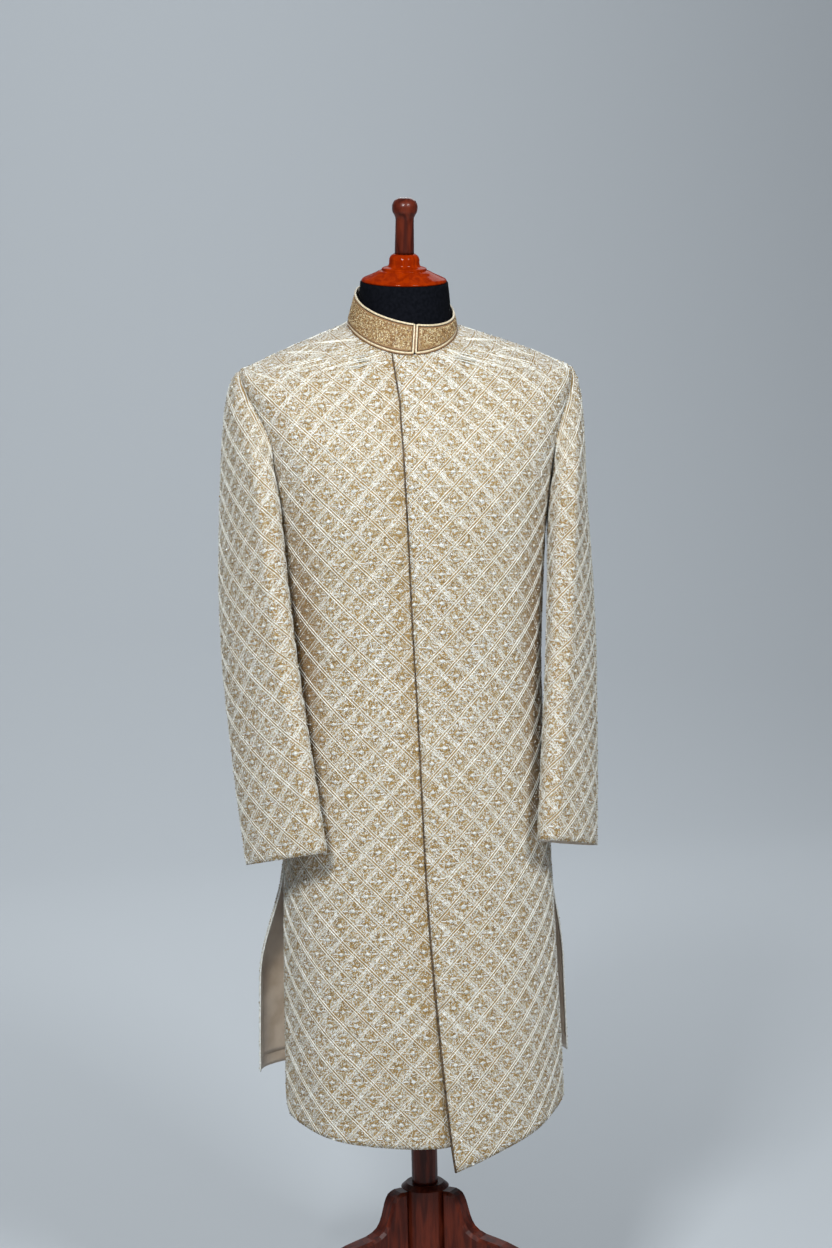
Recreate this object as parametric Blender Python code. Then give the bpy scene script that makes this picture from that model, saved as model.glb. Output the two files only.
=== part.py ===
"""A long embroidered coat with a stand collar, worn on a limbless dress form.

The coat is cut as two overlapping fronts, a back, two sleeves and a collar edged with piping. It rests on the
shoulders of the form, which has a turned neck cap and stands on a pole with three legs. Lengths are in metres,
+Z is up, the coat faces -Y and its left side is at +X.
"""

import math

import bmesh
import bpy
import numpy as np

# Where the form's upright axis stands, so that the whole object is centred on the origin
FORM_X, FORM_Y = 0.0074, -0.0457

# Walls and seams
WALL = 0.0020  # embroidered cloth with its backing
LINING_WALL = 0.0010
COLLAR_WALL = 0.0026
SEAM_GAP = 0.00036
REST_GAP = 0.0004  # between the coat's inside and the form's shoulders

# The body of the coat, one row for each level: how far up it is at the side, its half width, its depth in front
# of the axis and behind it, and how far up the same level is at the middle of the front and of the back
BODY_COLUMNS = ("side_z", "half_width", "front", "back", "front_z", "back_z", "roundness")
BODY_LEVELS = (
    (0.320, 0.196, 0.148, 0.150, 0.320, 0.320, 2.1),
    (0.460, 0.193, 0.146, 0.148, 0.460, 0.460, 2.1),
    (0.600, 0.189, 0.141, 0.143, 0.600, 0.600, 2.1),
    (0.750, 0.184, 0.133, 0.136, 0.750, 0.750, 2.1),
    (0.900, 0.178, 0.125, 0.127, 0.900, 0.900, 2.1),
    (1.010, 0.175, 0.121, 0.119, 1.010, 1.010, 2.1),
    (1.120, 0.179, 0.125, 0.119, 1.120, 1.120, 2.15),
    (1.210, 0.184, 0.130, 0.123, 1.205, 1.210, 2.3),
    (1.280, 0.191, 0.128, 0.123, 1.268, 1.280, 2.6),
    (1.340, 0.204, 0.118, 0.118, 1.318, 1.342, 2.7),
    (1.390, 0.218, 0.104, 0.108, 1.352, 1.394, 2.6),
    (1.411, 0.224, 0.097, 0.101, 1.370, 1.416, 2.5),
    (1.4195, 0.2235, 0.093, 0.098, 1.379, 1.425, 2.4),
    (1.426, 0.209, 0.090, 0.096, 1.386, 1.432, 2.3),
    (1.451, 0.150, 0.083, 0.086, 1.409, 1.463, 2.1),
    (1.476, 0.0715, 0.075, 0.073, 1.435, 1.500, 2.1),
)
ARMPIT_LEVEL, SHOULDER_LEVEL = 8, 12  # rows of the table above
DIP_SHAPE = 1.25  # how full the front and back dips of a level are
SOFTENING = 0.028  # how far along the rounding over the chest and the shoulder blades reaches
NECK_X = -0.004  # the neck sits a little to the right of the form's axis

# The soft hollow that runs down from the collar on each front
DENT_X, DENT_WIDTH, DENT_DEPTH = 0.070, 0.011, 0.0035
DENT_TOP, DENT_FOOT, DENT_FADE = 1.455, 1.335, 0.05

# The armhole, as turns from the side seam towards the front and the back
ARMHOLE_FRONT, ARMHOLE_BACK = math.radians(26), math.radians(36)
ARMHOLE_SKEW = 0.28  # how much fuller the armhole is near the armpit
ARMHOLE_STEPS = 10  # along each half of the armhole

# Where the fronts' columns of points lie, from the middle edge (0) to the side edge (1)
LEFT_COLUMNS = np.array([0, 0.04, 0.10, 0.18, 0.27, 0.36, 0.45, 0.54, 0.63, 0.72, 0.81, 0.89, 0.95, 0.985, 1.0])
RIGHT_COLUMNS = np.array([0.06, 0.15, 0.25, 0.35, 0.46, 0.57, 0.68, 0.78, 0.88, 0.95, 0.985, 1.0])
BACK_COLUMNS = 25
HEM_PART_TOP = 0.560
HEM_ROWS = (0.0, 0.12, 0.3, 0.5, 0.75)  # rows between the hem and that height

# The left front lies over the right one. Its free edge, as height and distance from the middle
OVERLAP_COLUMNS = ("height", "edge_x")
OVERLAP_EDGE = (
    (0.350, 0.016),
    (0.400, 0.010),
    (0.550, -0.001),
    (0.750, -0.011),
    (0.950, -0.015),
    (1.150, -0.022),
    (1.300, -0.0255),
    (1.436, -0.0255),
)
UNDERLAP_X, UNDERLAP_MOST = 0.046, 0.55  # how far the right front runs on beneath, and of a half width at most
UNDER_GAP = 0.0014
UNDER_EASE = 0.014  # over this width the right front sinks beneath the left one
FLAP_LIFT, FLAP_TOP, FLAP_FADE, FLAP_WIDTH = 0.010, 0.66, 0.30, 0.12  # the left front stands off towards its tip

# Hems and side slits
TIP_Z, LEFT_SIDE_Z = 0.362, 0.425
RIGHT_MIDDLE_Z, RIGHT_SIDE_Z = 0.394, 0.425
BACK_HEM_Z = 0.458
CORNER_RADIUS = 0.030
SLIT_TOP = 0.765
SIDE_DEPTH = 0.14  # the body's depth beside the slits, which turns a gap there into an angle
FRONT_DRAW, DRAW_LENGTH = math.radians(9), 0.33  # how far the fronts' side edges draw forward at the hem
BACK_FLARE_X, BACK_FLARE_Y = 0.026, 0.046  # how far the back's side edges stand out at the hem
BACK_FLARE_SPREAD, FLARE_LENGTH = math.radians(52), 0.23
LINING_INSET, LINING_HEM, LINING_TOP, LINING_GAP = 0.004, 0.016, 0.800, 0.0005

# Sleeves, one row for each section down the arm: height, distance out, distance back, half thickness,
# half breadth and how far the front edge turns inwards, in degrees
SLEEVE_COLUMNS = ("height", "out", "back", "half_thick", "half_broad", "toe_in")
SLEEVE_SECTIONS = (
    (1.238, 0.2170, -0.008, 0.0264, 0.0800, 17),
    (1.160, 0.2168, -0.016, 0.0276, 0.0780, 22),
    (1.060, 0.2140, -0.030, 0.0280, 0.0750, 28),
    (0.950, 0.2060, -0.050, 0.0275, 0.0710, 34),
    (0.860, 0.1980, -0.069, 0.0270, 0.0680, 39),
    (0.780, 0.1900, -0.086, 0.0265, 0.0655, 43),
)
SLEEVE_RINGS, HEAD_RINGS = 10, 6
# How strongly the sleeve head leaves the armhole at the front and at the back, and meets the arm
HEAD_FRONT_REACH, HEAD_BACK_REACH, HEAD_DROP = 0.22, 0.58, 0.80
HEAD_SLOPE = -0.12  # downwards as it leaves the armhole

# Collar, and the piping all round its edge
PIPING_RADIUS, PIPING_SIDES, PIPING_GAP = 0.0014, 6, 0.0007
NECK_RADIUS = 0.0740
COLLAR_MIDDLE_X = 0.0025
COLLAR_TOP_Z, COLLAR_TOP_TILT, COLLAR_TOP_LEAN = 1.503, 0.0310, 0.009
COLLAR_STAND_OUT, COLLAR_LEAN_IN = 0.0012, 0.0062
COLLAR_COLUMNS, COLLAR_ROWS = 36, 4

# Dress form
TORSO_BOTTOM = 0.800
TORSO_CLEAR_COLUMNS = ("level", "clear")
TORSO_CLEAR = ((3, 0.024), (5, 0.014), (8, 0.012), (11, 0.012), (12, 0.010), (15, 0.0095))
NECK_RINGS = ((1.492, 0.0612), (1.508, 0.0608), (1.523, 0.0598))
CAP_Z, CAP_TILT, NECK_TOP_RADIUS = 1.534, math.radians(11), 0.0586
# Profiles turned on a lathe, as radius and rise
CAP_PROFILE = (
    (0.0562, 0.0000),
    (0.0570, 0.0015),
    (0.0560, 0.0035),
    (0.0500, 0.0065),
    (0.0410, 0.0105),
    (0.0330, 0.0145),
    (0.0300, 0.0155),
    (0.0300, 0.0175),
    (0.0270, 0.0190),
    (0.0222, 0.0205),
    (0.0204, 0.0240),
    (0.0202, 0.0290),
    (0.0186, 0.0335),
    (0.0150, 0.0365),
)
FINIAL_PROFILE = (
    (0.0130, 0.0000),
    (0.0126, 0.0200),
    (0.0122, 0.0450),
    (0.0135, 0.0500),
    (0.0165, 0.0560),
    (0.0170, 0.0620),
    (0.0145, 0.0690),
    (0.0080, 0.0735),
)

# Pole, hub and legs
POLE_RADIUS, HUB_RADIUS = 0.018, 0.033
HUB_BOTTOM, HUB_TOP = 0.145, 0.300
LEG_ANGLES = (80, 200, 320)  # degrees from +X
LEG_THICK, LEG_BEVEL = 0.028, 0.004
# The outline of each leg, as distance out from the axis and height
LEG_TOP_EDGE = (
    (0.0440, 0.2940),
    (0.0540, 0.2890),
    (0.0600, 0.2770),
    (0.0650, 0.2600),
    (0.0730, 0.2450),
    (0.0900, 0.2360),
    (0.1220, 0.2300),
    (0.1650, 0.2130),
    (0.2100, 0.1750),
    (0.2500, 0.1140),
    (0.2760, 0.0550),
    (0.2860, 0.0000),
)
LEG_UNDERSIDE = (
    (0.2540, 0.0000),
    (0.2460, 0.0350),
    (0.2200, 0.0900),
    (0.1850, 0.1350),
    (0.1400, 0.1630),
    (0.0900, 0.1720),
)

MATERIALS = {
    "embroidered_cloth": ((0.69, 0.60, 0.44), 0.55, 0.0),
    "collar_beadwork": ((0.60, 0.40, 0.22), 0.42, 0.1),
    "piping": ((0.80, 0.71, 0.55), 0.45, 0.0),
    "lining_satin": ((0.42, 0.34, 0.26), 0.35, 0.0),
    "black_jersey": ((0.010, 0.013, 0.020), 0.85, 0.0),
    "lacquered_wood": ((0.52, 0.055, 0.008), 0.15, 0.0),
    "dark_wood": ((0.115, 0.022, 0.010), 0.30, 0.0),
}


def column(table, names, name):
    return np.array([row[names.index(name)] for row in table], float)


def smooth_curve(at, values, where):
    """Reads a curve through the values that never swings past them."""
    steps = np.diff(at)
    slopes = np.diff(values) / steps
    tangents = np.zeros(len(at))
    tangents[0], tangents[-1] = slopes[0], slopes[-1]
    for i in range(1, len(at) - 1):
        if slopes[i - 1] * slopes[i] > 0:
            before, after = 2 * steps[i] + steps[i - 1], steps[i] + 2 * steps[i - 1]
            tangents[i] = (before + after) / (before / slopes[i - 1] + after / slopes[i])
    where = np.clip(where, at[0], at[-1])
    i = np.clip(np.searchsorted(at, where, side="right") - 1, 0, len(steps) - 1)
    f = (where - at[i]) / steps[i]
    rise = values[i] + (values[i + 1] - values[i]) * (3 * f**2 - 2 * f**3)
    bend = steps[i] * (tangents[i] * (f**3 - 2 * f**2 + f) + tangents[i + 1] * (f**3 - f**2))
    return rise + bend


def ease(f):
    f = np.clip(f, 0.0, 1.0)
    return f * f * (3 - 2 * f)


def superellipse(turn, half_width, front, back, roundness=2.1):
    """The point of a rounded section at a turn from the middle of the front, towards +X."""
    depth = np.where(np.cos(turn) > 0, front, back)
    angle = np.arctan2(half_width * np.sin(turn), depth * np.cos(turn))
    across, along = np.abs(np.sin(angle) / half_width), np.abs(np.cos(angle) / depth)
    radius = (across**roundness + along**roundness) ** (-1 / roundness)
    return radius * np.sin(angle), -radius * np.cos(angle)


# How far along the side seam and the shoulder seam each level lies, from the lowest
SIDE = column(BODY_LEVELS, BODY_COLUMNS, "side_z")
HALF = column(BODY_LEVELS, BODY_COLUMNS, "half_width")
ALONG = np.concatenate([[0.0], np.cumsum(np.hypot(np.diff(SIDE), np.diff(HALF)))])
ARMPIT, SHOULDER, NECK = ALONG[ARMPIT_LEVEL], ALONG[SHOULDER_LEVEL], ALONG[-1]


def level(name, along):
    return smooth_curve(ALONG, column(BODY_LEVELS, BODY_COLUMNS, name), along)


def along_at(height):
    """How far along the side seam a height below the armpit is."""
    return np.interp(height, SIDE[: ARMPIT_LEVEL + 1], ALONG[: ARMPIT_LEVEL + 1])


def level_point(turn, along):
    """A point of the level that lies along the side seam, as the table gives it."""
    sizes = [level(name, along) for name in ("half_width", "front", "back", "roundness")]
    x, y = superellipse(turn, *sizes)
    middle = np.where(np.cos(turn) > 0, level("front_z", along), level("back_z", along))
    side = level("side_z", along)
    z = side + (middle - side) * np.abs(np.cos(turn)) ** DIP_SHAPE
    x = x + NECK_X * ease((along - SHOULDER) / (NECK - SHOULDER))
    return np.stack([x, y, z], -1)


def body_surface(turn, along):
    """The outside of the coat's body, before the laps and flares of each panel."""
    turn, along = np.broadcast_arrays(np.asarray(turn, float), np.asarray(along, float))
    # Away from the side and shoulder seams the levels are averaged, which rounds the chest and the back
    reach = np.minimum(SOFTENING * np.cos(turn) ** 2, (NECK - along) / 2)
    steps = ((-2, 1), (-1, 4), (0, 6), (1, 4), (2, 1))
    points = sum(share * level_point(turn, along + step * reach) for step, share in steps) / 16
    inside = np.exp(-(((np.abs(points[..., 0]) - DENT_X) / DENT_WIDTH) ** 2))
    inside = inside * ease((points[..., 2] - DENT_FOOT) / DENT_FADE) * ease((DENT_TOP - points[..., 2]) / DENT_FADE)
    points[..., 1] += np.where(np.cos(turn) > 0, DENT_DEPTH * inside, 0.0)
    return points


def body_normal(turn, along):
    nudge = 1e-4
    across = body_surface(turn + nudge, along) - body_surface(turn - nudge, along)
    up = body_surface(turn, np.minimum(along + nudge, NECK)) - body_surface(turn, along - nudge)
    normal = np.cross(across, up)
    return normal / np.linalg.norm(normal, axis=-1, keepdims=True)


def material(name):
    colour, roughness, metallic = MATERIALS[name]
    made = bpy.data.materials.new(name)
    made.use_nodes = True
    made.diffuse_color = (*colour, 1)
    shader = made.node_tree.nodes["Principled BSDF"]
    shader.inputs["Base Color"].default_value = (*colour, 1)
    shader.inputs["Roughness"].default_value = roughness
    shader.inputs["Metallic"].default_value = metallic
    return made


def add_solid(name, points, faces, finish):
    """Makes one closed, outward-facing object from its points and faces."""
    mesh = bpy.data.meshes.new(name)
    points = np.asarray(points, float) + (FORM_X, FORM_Y, 0.0)
    mesh.from_pydata(points.tolist(), [], faces)
    work = bmesh.new()
    work.from_mesh(mesh)
    bmesh.ops.recalc_face_normals(work, faces=work.faces)
    work.to_mesh(mesh)
    work.free()
    mesh.shade_smooth()
    mesh.set_sharp_from_angle(angle=math.radians(40))
    mesh.materials.append(finish)
    solid = bpy.data.objects.new(name, mesh)
    bpy.context.scene.collection.objects.link(solid)
    return solid


def grid_normals(grid, closed):
    """The outward direction at each point of a grid of rows going up and columns going round."""
    if closed:
        across = np.roll(grid, -1, axis=1) - np.roll(grid, 1, axis=1)
    else:
        across = np.gradient(grid, axis=1)
    normal = np.cross(across, np.gradient(grid, axis=0))
    return normal / np.linalg.norm(normal, axis=-1, keepdims=True)


def add_wall(name, outer, inner, finish, closed=False):
    """Joins an outer and an inner grid of points into a wall, round all its edges."""
    rows, columns = outer.shape[:2]
    points = np.concatenate([outer.reshape(-1, 3), inner.reshape(-1, 3)])
    within = rows * columns

    def at(row, col, side):
        return side * within + row * columns + col % columns

    faces = []
    spans = columns if closed else columns - 1
    for row in range(rows - 1):
        for col in range(spans):
            # Both sides are split along the same diagonal, so that what lies on a wall can follow it
            for corners in (((0, 0), (0, 1), (1, 1)), ((0, 0), (1, 1), (1, 0))):
                faces.append([at(row + r, col + c, 0) for r, c in corners])
                faces.append([at(row + r, col + c, 1) for r, c in reversed(corners)])
    for row, order in ((0, 1), (rows - 1, -1)):
        for col in range(spans):
            faces.append([at(row, col, 0), at(row, col, 1), at(row, col + 1, 1), at(row, col + 1, 0)][::order])
    if not closed:
        for col, order in ((0, -1), (columns - 1, 1)):
            for row in range(rows - 1):
                faces.append([at(row, col, 0), at(row, col, 1), at(row + 1, col, 1), at(row + 1, col, 0)][::order])
    return add_solid(name, points, faces, finish)


def add_stack(name, rings, finish):
    """A solid through closed rings, from the lowest up, with its ends filled."""
    count, size = len(rings), len(rings[0])
    faces = [list(range(size))[::-1], [(count - 1) * size + i for i in range(size)]]
    for ring in range(count - 1):
        for i in range(size):
            after = (i + 1) % size
            low, high = ring * size, (ring + 1) * size
            faces.append([low + i, low + after, high + after, high + i])
    return add_solid(name, np.concatenate(rings), faces, finish)


def armhole(turn_way, shrink=0.0):
    """Half of the armhole seam, from the armpit up to the shoulder, as turns and distances along."""
    k = np.linspace(0, math.pi, ARMHOLE_STEPS + 1)
    along = (ARMPIT + SHOULDER) / 2 - ((SHOULDER - ARMPIT) / 2 - shrink) * np.cos(k)
    width = ARMHOLE_FRONT if turn_way < 0 else ARMHOLE_BACK
    depth = level("front" if turn_way < 0 else "back", along)
    turn = math.pi / 2 + turn_way * (width - shrink / depth) * np.sin(k) * (1 + ARMHOLE_SKEW * np.cos(k))
    return turn, along


def panel_rows(turn_way):
    """Where the rows of a panel above its hem part lie, and the turn at which the panel ends on each."""
    low = along_at(np.array([HEM_PART_TOP, 0.63, 0.70, SLIT_TOP, 0.84, 0.92, 1.00, 1.08, 1.15, 1.22]))
    arm_turn, arm_along = armhole(turn_way)
    high = SHOULDER + (NECK - SHOULDER) * np.array([0.12, 0.34, 0.56, 0.78, 1.0])
    along = np.concatenate([low, arm_along, high])
    turn = np.full(len(along), math.pi / 2)
    turn[len(low) : len(low) + len(arm_turn)] = arm_turn
    depth = level("front" if turn_way < 0 else "back", along)
    return along, turn + turn_way * SEAM_GAP / 2 / depth


def rounded_corner(distance):
    """How far a hem has risen at a distance from its side edge."""
    inside = np.clip(CORNER_RADIUS - distance, 0, CORNER_RADIUS)
    return CORNER_RADIUS - np.sqrt(CORNER_RADIUS**2 - inside**2)


def overlap_x(height):
    at = column(OVERLAP_EDGE, OVERLAP_COLUMNS, "height")
    return smooth_curve(at, column(OVERLAP_EDGE, OVERLAP_COLUMNS, "edge_x"), height)


def front_hem(side, across):
    """How high the hem of a front is, from its middle edge (0) to its side edge (1)."""
    from_side = HALF[0] * (math.pi / 2) * (1 - across)
    if side > 0:
        line = TIP_Z + (LEFT_SIDE_Z - TIP_Z) * across**0.9
    else:
        line = RIGHT_MIDDLE_Z + (RIGHT_SIDE_Z - RIGHT_MIDDLE_Z) * across**2.0
    return line + rounded_corner(from_side)


def front_draw(height):
    return FRONT_DRAW * ease((SLIT_TOP - height) / DRAW_LENGTH)


def front_turns(side, height, along, end):
    """The turns of a front's columns on a row: side is 1 for the left front, which lies on top, or -1."""
    half = level("half_width", along)
    edge = np.arcsin(side * overlap_x(height) / half)
    if side > 0:
        return edge + (end - edge) * LEFT_COLUMNS
    # The columns near the overlap keep their distances from the edge that covers them
    inner = -np.arcsin(np.minimum(UNDERLAP_X, UNDERLAP_MOST * half) / half)
    near = edge + np.array([-0.45, -0.2, 0, 1]) * UNDER_EASE / half
    near[0], near[1] = inner, (inner + near[2]) / 2
    return np.concatenate([near, near[3] + (end - near[3]) * RIGHT_COLUMNS])


def front_grid(side):
    """The turns and distances along of one front, rows going up."""
    along, end = panel_rows(-1)
    columns = LEFT_COLUMNS if side > 0 else np.concatenate([[0, 0, 0, 0], RIGHT_COLUMNS])
    turns, alongs = [], []
    hem = front_hem(side, columns)
    for f in HEM_ROWS:
        here = along_at(hem + (HEM_PART_TOP - hem) * f)
        height = level("side_z", here)
        last = math.pi / 2 - SEAM_GAP / 2 / SIDE_DEPTH - front_draw(height)
        rows = [front_turns(side, h, a, e) for h, a, e in zip(height, here, last)]
        turns.append([row[i] for i, row in enumerate(rows)])
        alongs.append(here)
    for here, last in zip(along, end):
        last = last - front_draw(level("side_z", here))
        turns.append(front_turns(side, level("front_z", here), here, last))
        alongs.append(np.full(len(columns), here))
    return np.array(turns), np.array(alongs)


def left_front_points(turn, along):
    """Outer points of the front that lies on top, standing off a little towards its tip."""
    points, normal = body_surface(turn, along), body_normal(turn, along)
    from_edge = points[..., 0] - overlap_x(points[..., 2])
    lift = FLAP_LIFT * ease((FLAP_TOP - points[..., 2]) / FLAP_FADE) * (1 - ease(from_edge / FLAP_WIDTH))
    return points + normal * lift[..., None], normal


def right_front_points(turn, along):
    """Outer points of the front beneath, sunk by a wall where the other one covers it."""
    points, normal = body_surface(turn, along), body_normal(turn, along)
    covered = points[..., 0] - overlap_x(points[..., 2])
    sunk = (WALL + UNDER_GAP) * ease(1.03 + covered / UNDER_EASE)
    return points - normal * sunk[..., None], normal


def add_fronts(finish):
    turn, along = front_grid(1)
    outer, normal = left_front_points(turn, along)
    add_wall("left_front", outer, outer - normal * WALL, finish)
    turn, along = front_grid(-1)
    outer, normal = right_front_points(-turn, along)
    # The grid runs from the middle to the right side, so it is turned round to face outwards
    outer, normal = outer[:, ::-1], normal[:, ::-1]
    add_wall("right_front", outer, outer - normal * WALL, finish)


def back_points(turn, along):
    """Outer points of the back, whose side edges stand out below the slits."""
    points = body_surface(turn, along)
    from_edge = np.minimum(np.abs(turn - math.pi / 2), np.abs(turn - 3 * math.pi / 2))
    near = ease(1 - from_edge / BACK_FLARE_SPREAD)
    open_here = ease((SLIT_TOP - points[..., 2]) / FLARE_LENGTH) * near
    points[..., 0] += BACK_FLARE_X * open_here * np.sign(points[..., 0])
    points[..., 1] += BACK_FLARE_Y * open_here
    return points


def back_grid():
    along, start = panel_rows(1)
    low = along_at(np.linspace(BACK_HEM_Z, HEM_PART_TOP, 3)[:-1])
    along = np.concatenate([low, along])
    start = np.concatenate([np.full(len(low), math.pi / 2 + SEAM_GAP / 2 / SIDE_DEPTH), start])
    across = np.linspace(0, 1, BACK_COLUMNS)
    turn = start[:, None] + (2 * math.pi - 2 * start)[:, None] * across
    return turn, np.repeat(along[:, None], len(across), axis=1)


def add_back(finish, lining_finish):
    turn, along = back_grid()
    outer = back_points(turn, along)
    normal = grid_normals(outer, False)
    above = along > along_at(SLIT_TOP) - 1e-6
    normal[above] = body_normal(turn, along)[above]
    add_wall("back", outer, outer - normal * WALL, finish)
    add_lining(outer - normal * (WALL + LINING_GAP), normal, lining_finish)


def drawn_in(grid, inset, hem):
    """The grid with its two side columns moved in and its lowest row moved up, along its own faces."""
    grid = grid.copy()
    for edge, beside in ((0, 1), (-1, -2)):
        grid[:, edge] += (grid[:, beside] - grid[:, edge]) * inset
    grid[0] += (grid[1] - grid[0]) * hem
    return grid


def add_lining(skin, normal, finish):
    """The satin inside the back's skirt, made from the back's inside points up to the top of the slits."""
    rows = int(np.searchsorted(skin[:, 0, 2], LINING_TOP)) + 1
    skin, normal = skin[:rows], normal[:rows]
    inset = LINING_INSET / np.linalg.norm(skin[0, 1] - skin[0, 0])
    hem = LINING_HEM / np.linalg.norm(skin[1, 5] - skin[0, 5])
    inside = skin - normal * LINING_WALL
    add_wall("back_lining", drawn_in(skin, inset, hem), drawn_in(inside, inset, hem), finish)


def sleeve_section(height, side):
    """One closed section of the arm, from the armpit side round by the front."""
    at = column(SLEEVE_SECTIONS, SLEEVE_COLUMNS, "height")[::-1]

    def read(name):
        return float(smooth_curve(at, column(SLEEVE_SECTIONS, SLEEVE_COLUMNS, name)[::-1], np.array(height)))

    toe = math.radians(read("toe_in"))
    lean_out = (read_slope("out", height), read_slope("back", height))
    k = np.arange(2 * ARMHOLE_STEPS) * math.pi / ARMHOLE_STEPS
    # Seen from above, the section's inner point is first and its front point a quarter further on
    inward, forward = superellipse(math.pi / 2 - k, read("half_thick"), read("half_broad"), read("half_broad"))
    x = read("out") - inward * math.cos(toe) + forward * math.sin(toe)
    y = read("back") + inward * math.sin(toe) + forward * math.cos(toe)
    rise = (x - read("out")) * -lean_out[0] + (y - read("back")) * -lean_out[1]
    return np.stack([side * x, y, height + rise], -1)


def read_slope(name, height):
    """How fast a sleeve size changes with height."""
    at = column(SLEEVE_SECTIONS, SLEEVE_COLUMNS, "height")[::-1]
    values = column(SLEEVE_SECTIONS, SLEEVE_COLUMNS, name)[::-1]
    step = 0.02
    low, high = max(height - step, at[0]), min(height + step, at[-1])
    ends = smooth_curve(at, values, np.array([low, high]))
    return float(ends[1] - ends[0]) / (high - low)


def sleeve_rings(side):
    """Rings of the sleeve's outside from the cuff up to the armhole seam."""
    heights = np.linspace(SLEEVE_SECTIONS[-1][0], SLEEVE_SECTIONS[0][0], SLEEVE_RINGS)
    arm = [sleeve_section(height, side) for height in heights]
    front_turn, front_along = armhole(-1, SEAM_GAP)
    back_turn, back_along = armhole(1, SEAM_GAP)
    turn = np.concatenate([front_turn, back_turn[-2:0:-1]])
    along = np.concatenate([front_along, back_along[-2:0:-1]])
    seam = body_surface(turn, along)
    seam[:, 0] *= side
    span = np.linalg.norm(seam - arm[-1], axis=1, keepdims=True)
    backness = ease(0.5 + seam[:, 1:2] / (2 * SLEEVE_SECTIONS[0][4]))
    reach = HEAD_FRONT_REACH + (HEAD_BACK_REACH - HEAD_FRONT_REACH) * backness
    leave = span * reach * np.array([side, 0.0, HEAD_SLOPE])
    meet = arm[-1] - arm[-2]
    meet = -span * HEAD_DROP * meet / np.linalg.norm(meet, axis=1, keepdims=True)
    head = []
    for f in np.linspace(1, 0, HEAD_RINGS + 1)[1:]:
        blend = seam * (2 * f**3 - 3 * f**2 + 1) + arm[-1] * (3 * f**2 - 2 * f**3)
        head.append(blend + leave * (f**3 - 2 * f**2 + f) + meet * (f**3 - f**2))
    return np.array(arm + head)


def add_sleeve(name, side, finish):
    outer = sleeve_rings(side)
    if side < 0:
        outer = outer[:, ::-1]
    normal = grid_normals(outer, True)
    add_wall(name, outer, outer - normal * WALL, finish, closed=True)


def over_slope(height_at, turn, distance):
    """How far up a line that slopes round the neck has to move to lie a distance away from itself."""
    step = 0.02
    rise = (height_at(turn + step) - height_at(turn - step)) / (2 * step * NECK_RADIUS)
    return distance * np.sqrt(1 + rise**2)


def neck_height(turn):
    return body_surface(turn, NECK)[..., 2]


def collar_top_height(turn):
    return COLLAR_TOP_Z - COLLAR_TOP_TILT * np.cos(turn) - COLLAR_TOP_LEAN * np.sin(turn)


def collar_point(turn, up, above=0.0):
    """A point of the collar's outside: up runs from 0 at its bottom edge to 1 at its top edge."""
    turn = np.asarray(turn, float)
    bottom = neck_height(turn) + over_slope(neck_height, turn, 2 * (PIPING_GAP + PIPING_RADIUS))
    top = collar_top_height(turn)
    sizes = [level(name, NECK) + COLLAR_STAND_OUT - COLLAR_LEAN_IN * up for name in ("half_width", "front", "back")]
    x, y = superellipse(turn, *sizes)
    # Its top edge is centred on the form's neck
    return np.stack([x + NECK_X * (1 - up), y, bottom + (top - bottom) * up + above], -1)


def add_collar(finish):
    end_gap = 2 * (PIPING_GAP + PIPING_RADIUS)
    start = (COLLAR_MIDDLE_X + end_gap) / NECK_RADIUS
    end = 2 * math.pi + (COLLAR_MIDDLE_X - end_gap) / NECK_RADIUS
    turn = np.linspace(start, end, COLLAR_COLUMNS + 1)
    outer = np.array([collar_point(turn, f) for f in np.linspace(0, 1, COLLAR_ROWS + 1)])
    normal = grid_normals(outer, False)
    add_wall("collar", outer, outer - normal * COLLAR_WALL, finish)
    return turn


def add_piping(turn, finish):
    """A thin cord all round the collar's edge: along the bottom, up one end, back along the top and down."""
    off = PIPING_GAP + PIPING_RADIUS
    shift = off / NECK_RADIUS
    round_turn = np.concatenate([[turn[0] - shift], turn, [turn[-1] + shift]])
    bottom = collar_point(round_turn, 0.0, -over_slope(neck_height, round_turn, off))
    top = collar_point(round_turn, 1.0, over_slope(collar_top_height, round_turn, off))
    ends = [np.array([collar_point(t, f) for f in (0.1, 0.5, 0.9)]) for t in (round_turn[-1], round_turn[0])]
    path = np.concatenate([bottom, ends[0], top[::-1], ends[1][::-1]])
    out = (path - (NECK_X / 2, 0, 0)) * (1, 1, 0)
    out /= np.linalg.norm(out, axis=1, keepdims=True)
    path = path - out * COLLAR_WALL / 2
    ahead = np.roll(path, -1, axis=0) - np.roll(path, 1, axis=0)
    across = np.cross(ahead, out)
    across /= np.linalg.norm(across, axis=1, keepdims=True)
    angles = 2 * math.pi * (np.arange(PIPING_SIDES) + 0.5) / PIPING_SIDES
    rings = np.array([path + PIPING_RADIUS * (math.cos(a) * out + math.sin(a) * across) for a in angles])
    faces = []
    for i in range(len(path)):
        for k in range(PIPING_SIDES):
            low, high, after = i * PIPING_SIDES, (i + 1) % len(path) * PIPING_SIDES, (k + 1) % PIPING_SIDES
            faces.append([low + k, low + after, high + after, high + k])
    add_solid("collar_piping", rings.transpose(1, 0, 2).reshape(-1, 3), faces, finish)


def tilted(points, height, tilt):
    """Leans points about the form's axis towards the front, round a height."""
    x, y, z = points[..., 0], points[..., 1], points[..., 2]
    back = y * math.cos(tilt) - z * math.sin(tilt)
    up = y * math.sin(tilt) + z * math.cos(tilt)
    return np.stack([x, back, up + height], -1)


def circle(radius, height, count):
    k = np.arange(count) * 2 * math.pi / count
    return np.stack([radius * np.cos(k), radius * np.sin(k), np.full(count, height)], -1)


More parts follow.
